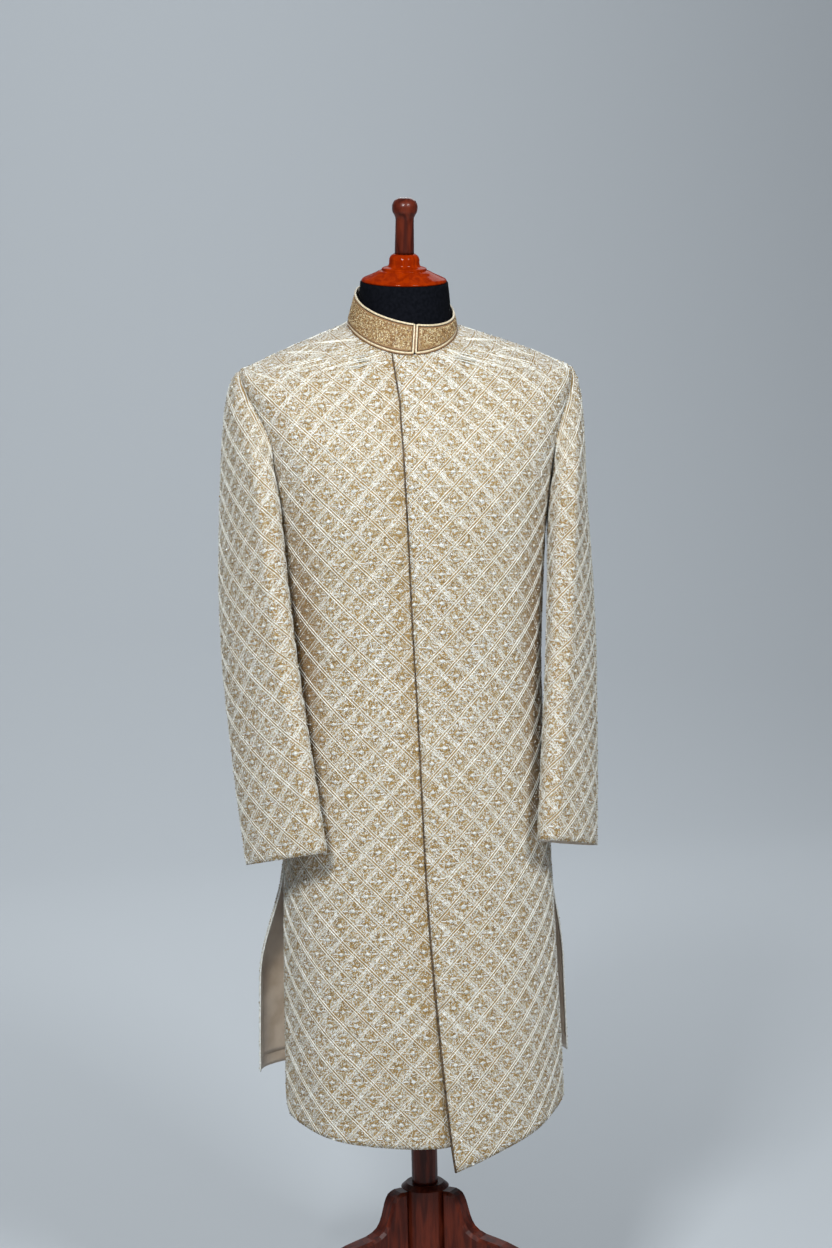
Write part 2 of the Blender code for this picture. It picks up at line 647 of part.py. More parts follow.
def add_torso(finish):
    """The padded form: the coat's own levels drawn in, its shoulders just under the coat's."""
    turn = np.radians(np.arange(0, 360, 10))
    clear_at = ALONG[[row[0] for row in TORSO_CLEAR]]
    clear = column(TORSO_CLEAR, TORSO_CLEAR_COLUMNS, "clear")
    rows = np.concatenate([
        along_at(np.array([TORSO_BOTTOM, 0.87, 0.94, 1.01, 1.08, 1.15, 1.21])),
        ALONG[ARMPIT_LEVEL] + (SHOULDER - ARMPIT) * np.array([0.0, 0.35, 0.65, 0.88]),
        SHOULDER + (NECK - SHOULDER) * np.array([0.12, 0.34, 0.56, 0.78, 1.0]),
    ])
    rings = []
    for along in rows:
        free = np.full(len(turn), float(smooth_curve(clear_at, clear, np.array(along))))
        if along > SHOULDER:
            from_seam = np.abs(np.abs((turn + math.pi) % (2 * math.pi) - math.pi) - math.pi / 2)
            rest = WALL + REST_GAP
            nearby = rest + 0.0022 * ease(from_seam / math.radians(10))
            free = nearby + (free - nearby) * ease((from_seam - math.radians(10)) / math.radians(40))
            fade = ease((along - SHOULDER - 0.75 * (NECK - SHOULDER)) / (0.25 * (NECK - SHOULDER)))
            free = free + (clear[-1] - free) * fade
        rings.append(body_surface(turn, along) - body_normal(turn, along) * free[:, None])
    rings[0][:, 2] = TORSO_BOTTOM
    for height, radius in NECK_RINGS:
        ring = circle(radius, 0, len(turn))
        ring = np.roll(ring, len(turn) // 4, axis=0)
        rings.append(tilted(ring, height, CAP_TILT * (height - 1.476) / (CAP_Z - 1.476)))
    top = np.roll(circle(NECK_TOP_RADIUS, 0, len(turn)), len(turn) // 4, axis=0)
    rings.append(tilted(top, CAP_Z, CAP_TILT))
    return add_stack("form_torso", rings, finish)


def add_turned(name, profile, height, finish, count=28, tilt=0.0, lift=0.0):
    """A piece turned on a lathe: its profile is radius and rise."""
    rings = [tilted(circle(radius, rise + lift, count), height, tilt) for radius, rise in profile]
    return add_stack(name, rings, finish)


def curve_points(corners, steps):
    """A smooth line through corner points, as many as steps between each two."""
    corners = np.array(corners, float)
    at = np.arange(len(corners), dtype=float)
    where = np.linspace(0, len(corners) - 1, (len(corners) - 1) * steps + 1)
    padded = np.concatenate([[2 * corners[0] - corners[1]], corners, [2 * corners[-1] - corners[-2]]])
    i = np.minimum(where.astype(int), len(corners) - 2)
    f = (where - at[i])[:, None]
    p0, p1, p2, p3 = (padded[i + n] for n in range(4))
    return 0.5 * (2 * p1 + (p2 - p0) * f + (2 * p0 - 5 * p1 + 4 * p2 - p3) * f**2
                  + (3 * p1 - p0 - 3 * p2 + p3) * f**3)


def add_leg(name, degrees, finish):
    """A flat curved leg, cut from a plank, with softened edges and a level foot."""
    inner = HUB_RADIUS + SEAM_GAP
    outline = [(inner, LEG_TOP_EDGE[0][1])] + curve_points(LEG_TOP_EDGE, 2).tolist()
    outline += curve_points(LEG_UNDERSIDE, 2).tolist() + [(inner, 0.165)]
    angle = math.radians(degrees)
    out = np.array([math.cos(angle), math.sin(angle), 0.0])
    across = np.array([-math.sin(angle), math.cos(angle), 0.0])
    work = bmesh.new()
    corners = [work.verts.new(out * r + across * -LEG_THICK / 2 + np.array([0, 0, z])) for r, z in outline]
    face = work.faces.new(corners)
    moved = bmesh.ops.extrude_face_region(work, geom=[face])["geom"]
    side = [item for item in moved if isinstance(item, bmesh.types.BMVert)]
    bmesh.ops.translate(work, verts=side, vec=across * LEG_THICK)
    bmesh.ops.recalc_face_normals(work, faces=work.faces)
    rims = [edge for edge in work.edges if any(len(f.verts) > 4 for f in edge.link_faces)]
    rims = [edge for edge in rims if max(v.co.z for v in edge.verts) > 0.001]
    bmesh.ops.bevel(work, geom=rims, offset=LEG_BEVEL, segments=1, affect="EDGES", clamp_overlap=True)
    work.verts.ensure_lookup_table()
    points = [tuple(vert.co) for vert in work.verts]
    faces = [[vert.index for vert in face.verts] for face in work.faces]
    work.free()
    add_solid(name, points, faces, finish)


def build():
    for old in list(bpy.data.objects):
        bpy.data.objects.remove(old)
    cloth = material("embroidered_cloth")
    add_fronts(cloth)
    add_back(cloth, material("lining_satin"))
    add_sleeve("left_sleeve", 1, cloth)
    add_sleeve("right_sleeve", -1, cloth)
    turn = add_collar(material("collar_beadwork"))
    add_piping(turn, material("piping"))
    add_torso(material("black_jersey"))
    wood = material("dark_wood")
    add_turned("neck_cap", CAP_PROFILE, CAP_Z, material("lacquered_wood"), tilt=CAP_TILT, lift=0.0003)
    finial_foot = CAP_PROFILE[-1][1] + 0.0006
    add_turned("finial", FINIAL_PROFILE, CAP_Z, wood, count=20, tilt=CAP_TILT, lift=finial_foot)
    pole = ((POLE_RADIUS, HUB_TOP + 0.0003), (POLE_RADIUS, TORSO_BOTTOM - 0.0003))
    add_turned("pole", pole, 0.0, wood, count=24)
    hub = ((0.026, HUB_BOTTOM), (HUB_RADIUS, HUB_BOTTOM + 0.006), (HUB_RADIUS, HUB_TOP - 0.006), (0.026, HUB_TOP))
    add_turned("hub", hub, 0.0, wood, count=32)
    for number, degrees in enumerate(LEG_ANGLES, 1):
        add_leg(f"leg_{number}", degrees, wood)


build()
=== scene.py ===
"""A long embroidered coat with a stand collar on a limbless dress form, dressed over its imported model."""

import math

import bpy
import numpy as np
from mathutils import Matrix, Vector


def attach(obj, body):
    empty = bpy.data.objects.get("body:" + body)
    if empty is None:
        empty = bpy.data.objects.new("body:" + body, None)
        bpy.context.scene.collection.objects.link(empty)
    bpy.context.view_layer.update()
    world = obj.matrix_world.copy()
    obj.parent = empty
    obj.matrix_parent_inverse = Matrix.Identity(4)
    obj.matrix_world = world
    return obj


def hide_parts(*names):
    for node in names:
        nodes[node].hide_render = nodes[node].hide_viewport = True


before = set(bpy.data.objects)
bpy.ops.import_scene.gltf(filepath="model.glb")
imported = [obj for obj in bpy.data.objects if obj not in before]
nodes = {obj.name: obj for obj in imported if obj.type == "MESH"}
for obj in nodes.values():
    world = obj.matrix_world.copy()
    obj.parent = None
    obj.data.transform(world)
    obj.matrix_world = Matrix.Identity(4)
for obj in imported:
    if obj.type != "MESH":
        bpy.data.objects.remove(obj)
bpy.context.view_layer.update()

# The studio: a sheet of pale paper that lies on the floor and bends up behind the form, two key lamps from above at
# both sides, weak ones from below and behind, one that lights the paper, and the camera.
# The stand's axis is a little off the middle of its three feet.
AXIS = Vector((0.0074, -0.0457, 0.0))
CAMERA_TURN, CAMERA_DISTANCE, CAMERA_HEIGHT = math.radians(10), 3.0, 1.35
CAMERA_AIM_Z, CAMERA_ROLL, LENS, FRAME_SHIFT = 1.075, math.radians(1.33), 64.18, 0.0032

bpy.ops.object.select_all(action="DESELECT")
away = Vector((-math.sin(CAMERA_TURN), -math.cos(CAMERA_TURN), 0)) * CAMERA_DISTANCE
place = AXIS + away + Vector((0, 0, CAMERA_HEIGHT))
look = AXIS + Vector((0, 0, CAMERA_AIM_Z)) - place
bpy.ops.object.camera_add(location=place)
camera = bpy.context.object
camera.rotation_euler = (look.to_track_quat("-Z", "Y").to_matrix() @ Matrix.Rotation(-CAMERA_ROLL, 3, "Z")).to_euler()
camera.data.lens, camera.data.sensor_width, camera.data.shift_x = LENS, 36, FRAME_SHIFT
bpy.context.scene.camera = camera
bpy.context.scene.view_settings.view_transform = "Standard"

FLOOR_SIZE, WALL_HEIGHT, BEND_REACH, BEND_STEPS = 16, 8, 4.2, 40


def select_edges(mesh, wanted):
    """Selects the edges with both ends where they are wanted, for the next edit."""
    bpy.ops.mesh.select_all(action="DESELECT")
    bpy.ops.object.mode_set(mode="OBJECT")
    for edge in mesh.edges:
        edge.select = all(wanted(mesh.vertices[v].co) for v in edge.vertices)
    bpy.ops.object.mode_set(mode="EDIT")


bpy.ops.mesh.primitive_plane_add(size=FLOOR_SIZE, location=(0, 0, 0))
floor = bpy.context.object
floor.name = "studio_floor"
bpy.ops.object.mode_set(mode="EDIT")
select_edges(floor.data, lambda at: at.y > FLOOR_SIZE / 4)
bpy.ops.mesh.extrude_region_move(TRANSFORM_OT_translate={"value": (0, 0, WALL_HEIGHT)})
select_edges(floor.data, lambda at: at.y > FLOOR_SIZE / 4 and at.z < 1)
bpy.ops.mesh.bevel(offset=BEND_REACH, segments=BEND_STEPS)
bpy.ops.object.mode_set(mode="OBJECT")
bpy.ops.object.shade_smooth()

LAMP_COLOUR = (0.93, 0.975, 1.0)
LAMPS = (  # where each lamp is, what it points at, its size and its power
    ("left_key_lamp", (-1.10, -2.4, 2.75), (0.0, 0.0, 1.25), 0.55, 85),
    ("right_key_lamp", (1.00, -2.4, 2.75), (0.0, 0.0, 1.3), 0.55, 53),
    ("low_lamp", (0.4, -3.2, 0.7), (0.0, 0.0, 0.6), 1.2, 2),
    ("back_lamp", (0.8, 3.0, 3.6), (0.0, 0.0, 1.0), 1.8, 32),
    ("backdrop_lamp", (0.0, 2.0, 5.5), (-0.6, 8.0, 2.4), 2.5, 215),
)
for name, spot, target, size, power in LAMPS:
    bpy.ops.object.light_add(type="AREA", location=spot)
    lamp = bpy.context.object
    lamp.name, lamp.data.size, lamp.data.energy, lamp.data.color = name, size, power, LAMP_COLOUR
    lamp.rotation_euler = (Vector(target) - Vector(spot)).to_track_quat("-Z", "Y").to_euler()
world = bpy.context.scene.world or bpy.data.worlds.new("studio")
bpy.context.scene.world = world
world.use_nodes = True
sky = world.node_tree.nodes["Background"].inputs
sky["Color"].default_value, sky["Strength"].default_value = (0.80, 0.86, 0.95, 1), 0.16


class Field:
    """A value that varies over a surface: sums and products of such values add Math nodes."""

    def __init__(self, finish, socket):
        self.finish, self.socket = finish, socket

    def math(self, operation, *others):
        return self.finish.add("ShaderNodeMath", {"operation": operation}, dict(enumerate((self, *others))))

    def __add__(self, other):
        return self.math("ADD", other)

    __radd__ = __add__

    def __sub__(self, other):
        return self.math("SUBTRACT", other)

    def __rsub__(self, other):
        return self.finish.add("ShaderNodeMath", {"operation": "SUBTRACT"}, {0: other, 1: self})

    def __mul__(self, other):
        return self.math("MULTIPLY", other)

    __rmul__ = __mul__

    def __truediv__(self, other):
        return self.math("DIVIDE", other)

    def rise(self, low, high):
        """0 up to the low value, 1 from the high one on, and a soft step between."""
        settings = {"interpolation_type": "SMOOTHSTEP"}
        return self.finish.add("ShaderNodeMapRange", settings, {0: self, 1: low, 2: high, 3: 0.0, 4: 1.0})


class Finish:
    """A material, with a method for each kind of node that it is often made of."""

    def __init__(self, name, colour, roughness, **constants):
        self.material = bpy.data.materials.new(name)
        self.material.use_nodes = True
        self.tree = self.material.node_tree
        self.shader = self.tree.nodes["Principled BSDF"]
        self.connect(self.shader.inputs["Base Color"], colour)
        self.connect(self.shader.inputs["Roughness"], roughness)
        for socket, value in constants.items():
            self.connect(self.shader.inputs[socket.replace("_", " ").title()], value)

    def connect(self, socket, value):
        if isinstance(value, Field):
            self.tree.links.new(value.socket, socket)
        else:
            socket.default_value = (*value, 1) if isinstance(value, tuple) and socket.type == "RGBA" else value

    def add(self, kind, settings, inputs, out=0):
        node = self.tree.nodes.new(kind)
        for setting, value in settings.items():
            setattr(node, setting, value)
        for socket, value in inputs.items():
            self.connect(node.inputs[socket], value)
        return Field(self, node.outputs[out])

    def here(self):
        """The point itself, in the piece's own coordinates."""
        return self.add("ShaderNodeTexCoord", {}, {}, out="Object")

    def noise(self, at, scale, detail=2.0, distortion=0.0, flat=False):
        settings = {"noise_dimensions": "2D"} if flat else {}
        inputs = {"Vector": at, "Scale": scale, "Detail": detail, "Distortion": distortion}
        return self.add("ShaderNodeTexNoise", settings, inputs)

    def cells(self, at, scale, out, randomness=1.0, flat=False):
        """Grains side by side: how far it is to the nearest one's middle, or a random colour for each."""
        settings = {"voronoi_dimensions": "2D"} if flat else {}
        inputs = {"Vector": at, "Scale": scale, "Randomness": randomness}
        return self.add("ShaderNodeTexVoronoi", settings, inputs, out=out)

    def channel(self, colour, number):
        return self.add("ShaderNodeSeparateColor", {}, {0: colour}, out=number)

    def axis(self, point, number):
        return self.add("ShaderNodeSeparateXYZ", {}, {0: point}, out=number)

    def attribute(self, name):
        return self.add("ShaderNodeAttribute", {"attribute_name": name}, {}, out="Fac")

    def mix(self, share, low, high):
        return self.add("ShaderNodeMix", {"data_type": "RGBA"}, {0: share, 6: low, 7: high}, out=2)

    def bump(self, height, distance, strength=1.0):
        bumped = self.add("ShaderNodeBump", {}, {"Height": height, "Distance": distance, "Strength": strength})
        self.connect(self.shader.inputs["Normal"], bumped)


def paint(finish, colour, roughness=None):
    finish.connect(finish.shader.inputs["Base Color"], colour)
    if roughness is not None:
        finish.connect(finish.shader.inputs["Roughness"], roughness)


studio_paper = Finish("studio_paper", (0.565, 0.590, 0.615), 0.9)
floor.data.materials.append(studio_paper.material)

# The coat's body is stiff ivory cloth, cut as two overlapping fronts and a back and sewn at the shoulders and
# sides, and it hangs straight from the shoulders. Each level is a section of it, from the hem up to the neck.
BODY_COLUMNS = ("side_z", "half_width", "front", "back", "front_z", "back_z", "roundness")
BODY_LEVELS = np.array((
    (0.320, 0.196, 0.148, 0.150, 0.320, 0.320, 2.1),
    (0.460, 0.193, 0.146, 0.148, 0.460, 0.460, 2.1),
    (0.600, 0.189, 0.141, 0.143, 0.600, 0.600, 2.1),
    (0.750, 0.184, 0.133, 0.136, 0.750, 0.750, 2.1),
    (0.900, 0.178, 0.125, 0.127, 0.900, 0.900, 2.1),
    (1.010, 0.175, 0.121, 0.119, 1.010, 1.010, 2.1),
    (1.120, 0.179, 0.125, 0.119, 1.120, 1.120, 2.15),
    (1.210, 0.184, 0.130, 0.123, 1.205, 1.210, 2.3),
    (1.280, 0.191, 0.128, 0.123, 1.268, 1.280, 2.6),
    (1.340, 0.204, 0.118, 0.118, 1.318, 1.342, 2.7),
    (1.390, 0.218, 0.104, 0.108, 1.352, 1.394, 2.6),
    (1.411, 0.224, 0.097, 0.101, 1.370, 1.416, 2.5),
    (1.4195, 0.2235, 0.093, 0.098, 1.379, 1.425, 2.4),
    (1.426, 0.209, 0.090, 0.096, 1.386, 1.432, 2.3),
    (1.451, 0.150, 0.083, 0.086, 1.409, 1.463, 2.1),
    (1.476, 0.0715, 0.075, 0.073, 1.435, 1.500, 2.1),
))
ARMPIT_LEVEL, SHOULDER_LEVEL = 8, 12
DIP_SHAPE, SOFTENING, NECK_X = 1.25, 0.028, -0.004
DENT_X, DENT_WIDTH, DENT_DEPTH = 0.070, 0.010, 0.0052
DENT_TOP, DENT_FOOT, DENT_FADE = 1.455, 1.335, 0.05
FOLD_DEPTH, FOLD_TURN, FOLD_TOP, FOLD_FADE, MEAN_RADIUS = 0.0014, math.radians(40), 0.80, 0.4, 0.16
CLOTH_THICK, SEAM_GAP = 0.0018, 0.00036


def smooth_curve(at, values, where):
    """Reads a curve through the values that never swings past them."""
    steps = np.diff(at)
    slopes = np.diff(values) / steps
    tangents = np.zeros(len(at))
    tangents[0], tangents[-1] = slopes[0], slopes[-1]
    for i in range(1, len(at) - 1):
        if slopes[i - 1] * slopes[i] > 0:
            before, after = 2 * steps[i] + steps[i - 1], steps[i] + 2 * steps[i - 1]
            tangents[i] = (before + after) / (before / slopes[i - 1] + after / slopes[i])
    where = np.clip(where, at[0], at[-1])
    i = np.clip(np.searchsorted(at, where, side="right") - 1, 0, len(steps) - 1)
    f = (where - at[i]) / steps[i]
    rise = values[i] + (values[i + 1] - values[i]) * (3 * f**2 - 2 * f**3)
    return rise + steps[i] * (tangents[i] * (f**3 - 2 * f**2 + f) + tangents[i + 1] * (f**3 - f**2))


def ease(f):
    f = np.clip(f, 0.0, 1.0)
    return f * f * (3 - 2 * f)


def rounded_section(turn, half_width, front, back, roundness=2.1):
    """The point of a rounded section at a turn from the middle of the front, towards +X."""
    depth = np.where(np.cos(turn) > 0, front, back)
    angle = np.arctan2(half_width * np.sin(turn), depth * np.cos(turn))
    across, along = np.abs(np.sin(angle) / half_width), np.abs(np.cos(angle) / depth)
    radius = (across**roundness + along**roundness) ** (-1 / roundness)
    return radius * np.sin(angle), -radius * np.cos(angle)


SIDE_Z, HALF_WIDTH = BODY_LEVELS[:, 0], BODY_LEVELS[:, 1]
LEVEL_AT = np.concatenate([[0.0], np.cumsum(np.hypot(np.diff(SIDE_Z), np.diff(HALF_WIDTH)))])
ARMPIT, SHOULDER, NECK = LEVEL_AT[ARMPIT_LEVEL], LEVEL_AT[SHOULDER_LEVEL], LEVEL_AT[-1]


def level(name, along):
    return smooth_curve(LEVEL_AT, BODY_LEVELS[:, BODY_COLUMNS.index(name)], along)


def along_at(height):
    """How far along the side seam a height below the armpit is."""
    return np.interp(height, SIDE_Z[: ARMPIT_LEVEL + 1], LEVEL_AT[: ARMPIT_LEVEL + 1])


def level_point(turn, along):
    x, y = rounded_section(turn, *(level(name, along) for name in ("half_width", "front", "back", "roundness")))
    middle = np.where(np.cos(turn) > 0, level("front_z", along), level("back_z", along))
    side = level("side_z", along)
    z = side + (middle - side) * np.abs(np.cos(turn)) ** DIP_SHAPE
    return np.stack([x + NECK_X * ease((along - SHOULDER) / (NECK - SHOULDER)), y, z], -1)


def body_surface(turn, along):
    """The outside of the coat's body, before the laps and flares of each panel."""
    turn, along = np.broadcast_arrays(np.asarray(turn, float), np.asarray(along, float))
    reach = np.minimum(SOFTENING * np.cos(turn) ** 2, (NECK - along) / 2)
    shares = ((-2, 1), (-1, 4), (0, 6), (1, 4), (2, 1))
    points = sum(share * level_point(turn, along + step * reach) for step, share in shares) / 16
    inside = np.exp(-(((np.abs(points[..., 0]) - DENT_X) / DENT_WIDTH) ** 2))
    inside = inside * ease((points[..., 2] - DENT_FOOT) / DENT_FADE) * ease((DENT_TOP - points[..., 2]) / DENT_FADE)
    points[..., 1] += np.where(np.cos(turn) > 0, DENT_DEPTH * inside, 0.0)
    soft_fold = np.sin(2 * math.pi * turn / FOLD_TURN + 5 * points[..., 2])
    soft_fold = soft_fold * ease((FOLD_TOP - points[..., 2]) / FOLD_FADE)
    points[..., :2] *= (1 + FOLD_DEPTH / MEAN_RADIUS * soft_fold)[..., None]
    return points


def body_normal(turn, along):
    nudge = 1e-4
    across = body_surface(turn + nudge, along) - body_surface(turn - nudge, along)
    up = body_surface(turn, np.minimum(along + nudge, NECK)) - body_surface(turn, along - nudge)
    normal = np.cross(across, up)
    return normal / np.linalg.norm(normal, axis=-1, keepdims=True)


# The cloth's own measure, for the fronts from the middle of the front and for the back from the middle of the
# back: how far out each point lies on the flat cloth, level all the way, and how far up it
FLAT_COLUMNS, FLAT_ROWS = 61, 150
FLAT_TURN = np.radians(np.linspace(0, 91, FLAT_COLUMNS))
FLAT_ALONG = np.linspace(0, NECK, FLAT_ROWS)


def lay_flat(turn):
    points = body_surface(turn[None, :], FLAT_ALONG[:, None])
    out = np.cumsum(np.hypot(*np.moveaxis(np.diff(points[..., :2], axis=1), -1, 0)), axis=1)
    out = np.concatenate([np.zeros((FLAT_ROWS, 1)), out], axis=1)
    up = np.full_like(out, SIDE_Z[0])
    for row in range(1, FLAT_ROWS):
        below = [np.interp(out[row], out[row - 1], values) for values in (*points[row - 1].T, up[row - 1])]
        up[row] = below[3] + np.linalg.norm(points[row] - np.stack(below[:3], 1), axis=1)
    return out, up


FRONT_FLAT, BACK_FLAT = lay_flat(FLAT_TURN), lay_flat(math.pi - FLAT_TURN)


def cloth_measure(turn, along, tables):
    """Where each point lies on the flat cloth: how far out from its middle, and how far up."""
    j = np.clip(turn / FLAT_TURN[1], 0, FLAT_COLUMNS - 1.001)
    i = np.clip(along / FLAT_ALONG[1], 0, FLAT_ROWS - 1.001)
    a, b = i.astype(int), j.astype(int)
    f, g = i - a, j - b
    low = [table[a, b] * (1 - g) + table[a, b + 1] * g for table in tables]
    high = [table[a + 1, b] * (1 - g) + table[a + 1, b + 1] * g for table in tables]
    return [under * (1 - f) + over * f for under, over in zip(low, high)]


def steps_along(points, axis):
    """Distances walked over a grid of points along one of its axes."""
    walked = np.cumsum(np.linalg.norm(np.diff(points, axis=axis), axis=-1), axis=axis)
    start = np.zeros_like(np.take(walked, [0], axis=axis))
    return np.concatenate([start, walked], axis=axis)


def grid_normals(grid, closed=False):
    """The outward direction at each point of a grid of rows going up and columns going round."""
    across = np.roll(grid, -1, axis=1) - np.roll(grid, 1, axis=1) if closed else np.gradient(grid, axis=1)
    normal = np.cross(across, np.gradient(grid, axis=0))
    return normal / np.linalg.norm(normal, axis=-1, keepdims=True)


def new_piece(name, points, faces, finish, body="root"):
    mesh = bpy.data.meshes.new(name)
    mesh.from_pydata(np.asarray(points).tolist(), [], faces)
    mesh.shade_smooth()
    mesh.materials.append(finish.material)
    piece = bpy.data.objects.new(name, mesh)
    bpy.context.scene.collection.objects.link(piece)
    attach(piece, body)
    return piece


class Panel:
    """One cut piece of cloth: its outer points in rows and columns, and where each lies on the flat cloth."""

    def __init__(self, name, outer, normal, u, v, closed=False):
        self.name, self.outer, self.normal, self.u, self.v, self.closed = name, outer, normal, u, v, closed

    def make(self, outside, inside, thick=CLOTH_THICK):
        """The cloth itself, with its outside in one finish and its inside in another."""
        outer = self.outer + np.array(AXIS)
        rows, columns = outer.shape[:2]
        spans = columns if self.closed else columns - 1
        row, col = np.meshgrid(np.arange(rows - 1), np.arange(spans), indexing="ij")
        row, col = row.ravel(), col.ravel()
        after = (col + 1) % columns
        outside_faces = np.stack([row * columns + col, row * columns + after,
                                  (row + 1) * columns + after, (row + 1) * columns + col], 1)
        total = rows * columns
        rims = []
        for edge_row, order in ((0, 1), (rows - 1, -1)):
            for c in range(spans):
                a, b = edge_row * columns + c, edge_row * columns + (c + 1) % columns
                rims.append([a, a + total, b + total, b][::order])
        if not self.closed:
            for edge_col, order in ((0, -1), (columns - 1, 1)):
                for r in range(rows - 1):
                    a, b = r * columns + edge_col, (r + 1) * columns + edge_col
                    rims.append([a, a + total, b + total, b][::order])
        faces = outside_faces.tolist() + (outside_faces[:, ::-1] + total).tolist() + rims
        points = np.concatenate([outer.reshape(-1, 3), (outer - self.normal * thick).reshape(-1, 3)])
        piece = new_piece(self.name, points, faces, outside)
        piece.data.materials.append(inside.material)
        count = len(outside_faces)
        slots = np.zeros(len(faces), dtype=np.int32)
        slots[count : 2 * count] = 1
        piece.data.polygons.foreach_set("material_index", slots)
        layer = piece.data.uv_layers.new(name="UVMap")
        corner = np.zeros(len(piece.data.loops), dtype=np.int32)
        piece.data.loops.foreach_get("vertex_index", corner)
        flat = np.stack([np.tile(self.u.ravel(), 2), np.tile(self.v.ravel(), 2)], 1)[corner]
        layer.data.foreach_set("uv", flat.astype(np.float32).ravel())
        return piece

    def find(self, u, v):
        """Where points of the flat cloth lie on the panel, their outward directions, and which are on it."""
        rows, columns = self.u.shape
        i, j = np.full(len(u), rows / 2), np.full(len(u), columns / 2)

        def cross(table, at, wanted):
            a = np.clip(at.astype(int), 0, table.shape[0] - 2)
            f = (at - a)[:, None]
            line = table[a] * (1 - f) + table[a + 1] * f
            below = np.clip((line < wanted[:, None]).sum(1) - 1, 0, table.shape[1] - 2)
            pick = np.arange(len(at))
            low, high = line[pick, below], line[pick, below + 1]
            return below + (wanted - low) / np.where(high - low > 1e-9, high - low, 1e-9)

        falling = self.u[0, -1] < self.u[0, 0]
        table_u, wanted_u = (-self.u, -u) if falling else (self.u, u)
        for _ in range(7):
            j = np.clip(cross(table_u, np.clip(i, 0, rows - 1.001), wanted_u), -1, columns)
            i = np.clip(cross(self.v.T, np.clip(j, 0, columns - 1.001), v), -1, rows)
        on = (i >= 0) & (i <= rows - 1) & (j >= 0) & (j <= columns - 1)
        a = np.clip(i.astype(int), 0, rows - 2)
        b = np.clip(j.astype(int), 0, columns - 2)
        f, g = (i - a)[:, None], (j - b)[:, None]

        def read(table):
            low = table[a, b] * (1 - g) + table[a, b + 1] * g
            return low * (1 - f) + (table[a + 1, b] * (1 - g) + table[a + 1, b + 1] * g) * f

        normal = read(self.normal)
        return read(self.outer), normal / np.linalg.norm(normal, axis=1, keepdims=True), on


# The cloth's finish: a lattice of raised cords and stitched bands at 45 degrees, a pearl in a ring of gold-brown
# beads in each diamond, and small ivory, beige and brown seed beads sewn all over the ground
PITCH_U, PITCH_V = 0.0370, 0.0380
LINE_STEP = PITCH_U * PITCH_V / math.hypot(PITCH_U, PITCH_V)
CORD_OFFSET, CORD_RADIUS = 0.00165, 0.00048
RING_WIDE, RING_TALL, SEED_SCALE = 0.0100, 0.0068, 700.0
WHITE, IVORY, BEIGE = (0.87, 0.885, 0.87), (0.65, 0.635, 0.54), (0.48, 0.385, 0.225)
# The last colour below is the gold-brown of the painted shade beside the sleeves.
BROWN, UMBER, ARM_SHADE_TONE = (0.36, 0.215, 0.062), (0.12, 0.065, 0.018), (0.23, 0.115, 0.020)


def worn_bars(finish, uv):
    """Some of the bars are bright, and others have sunk between the beads."""
    worn = finish.noise(uv, 38.0, flat=True)
    return 0.25 + 0.65 * worn.rise(0.45, 0.6)


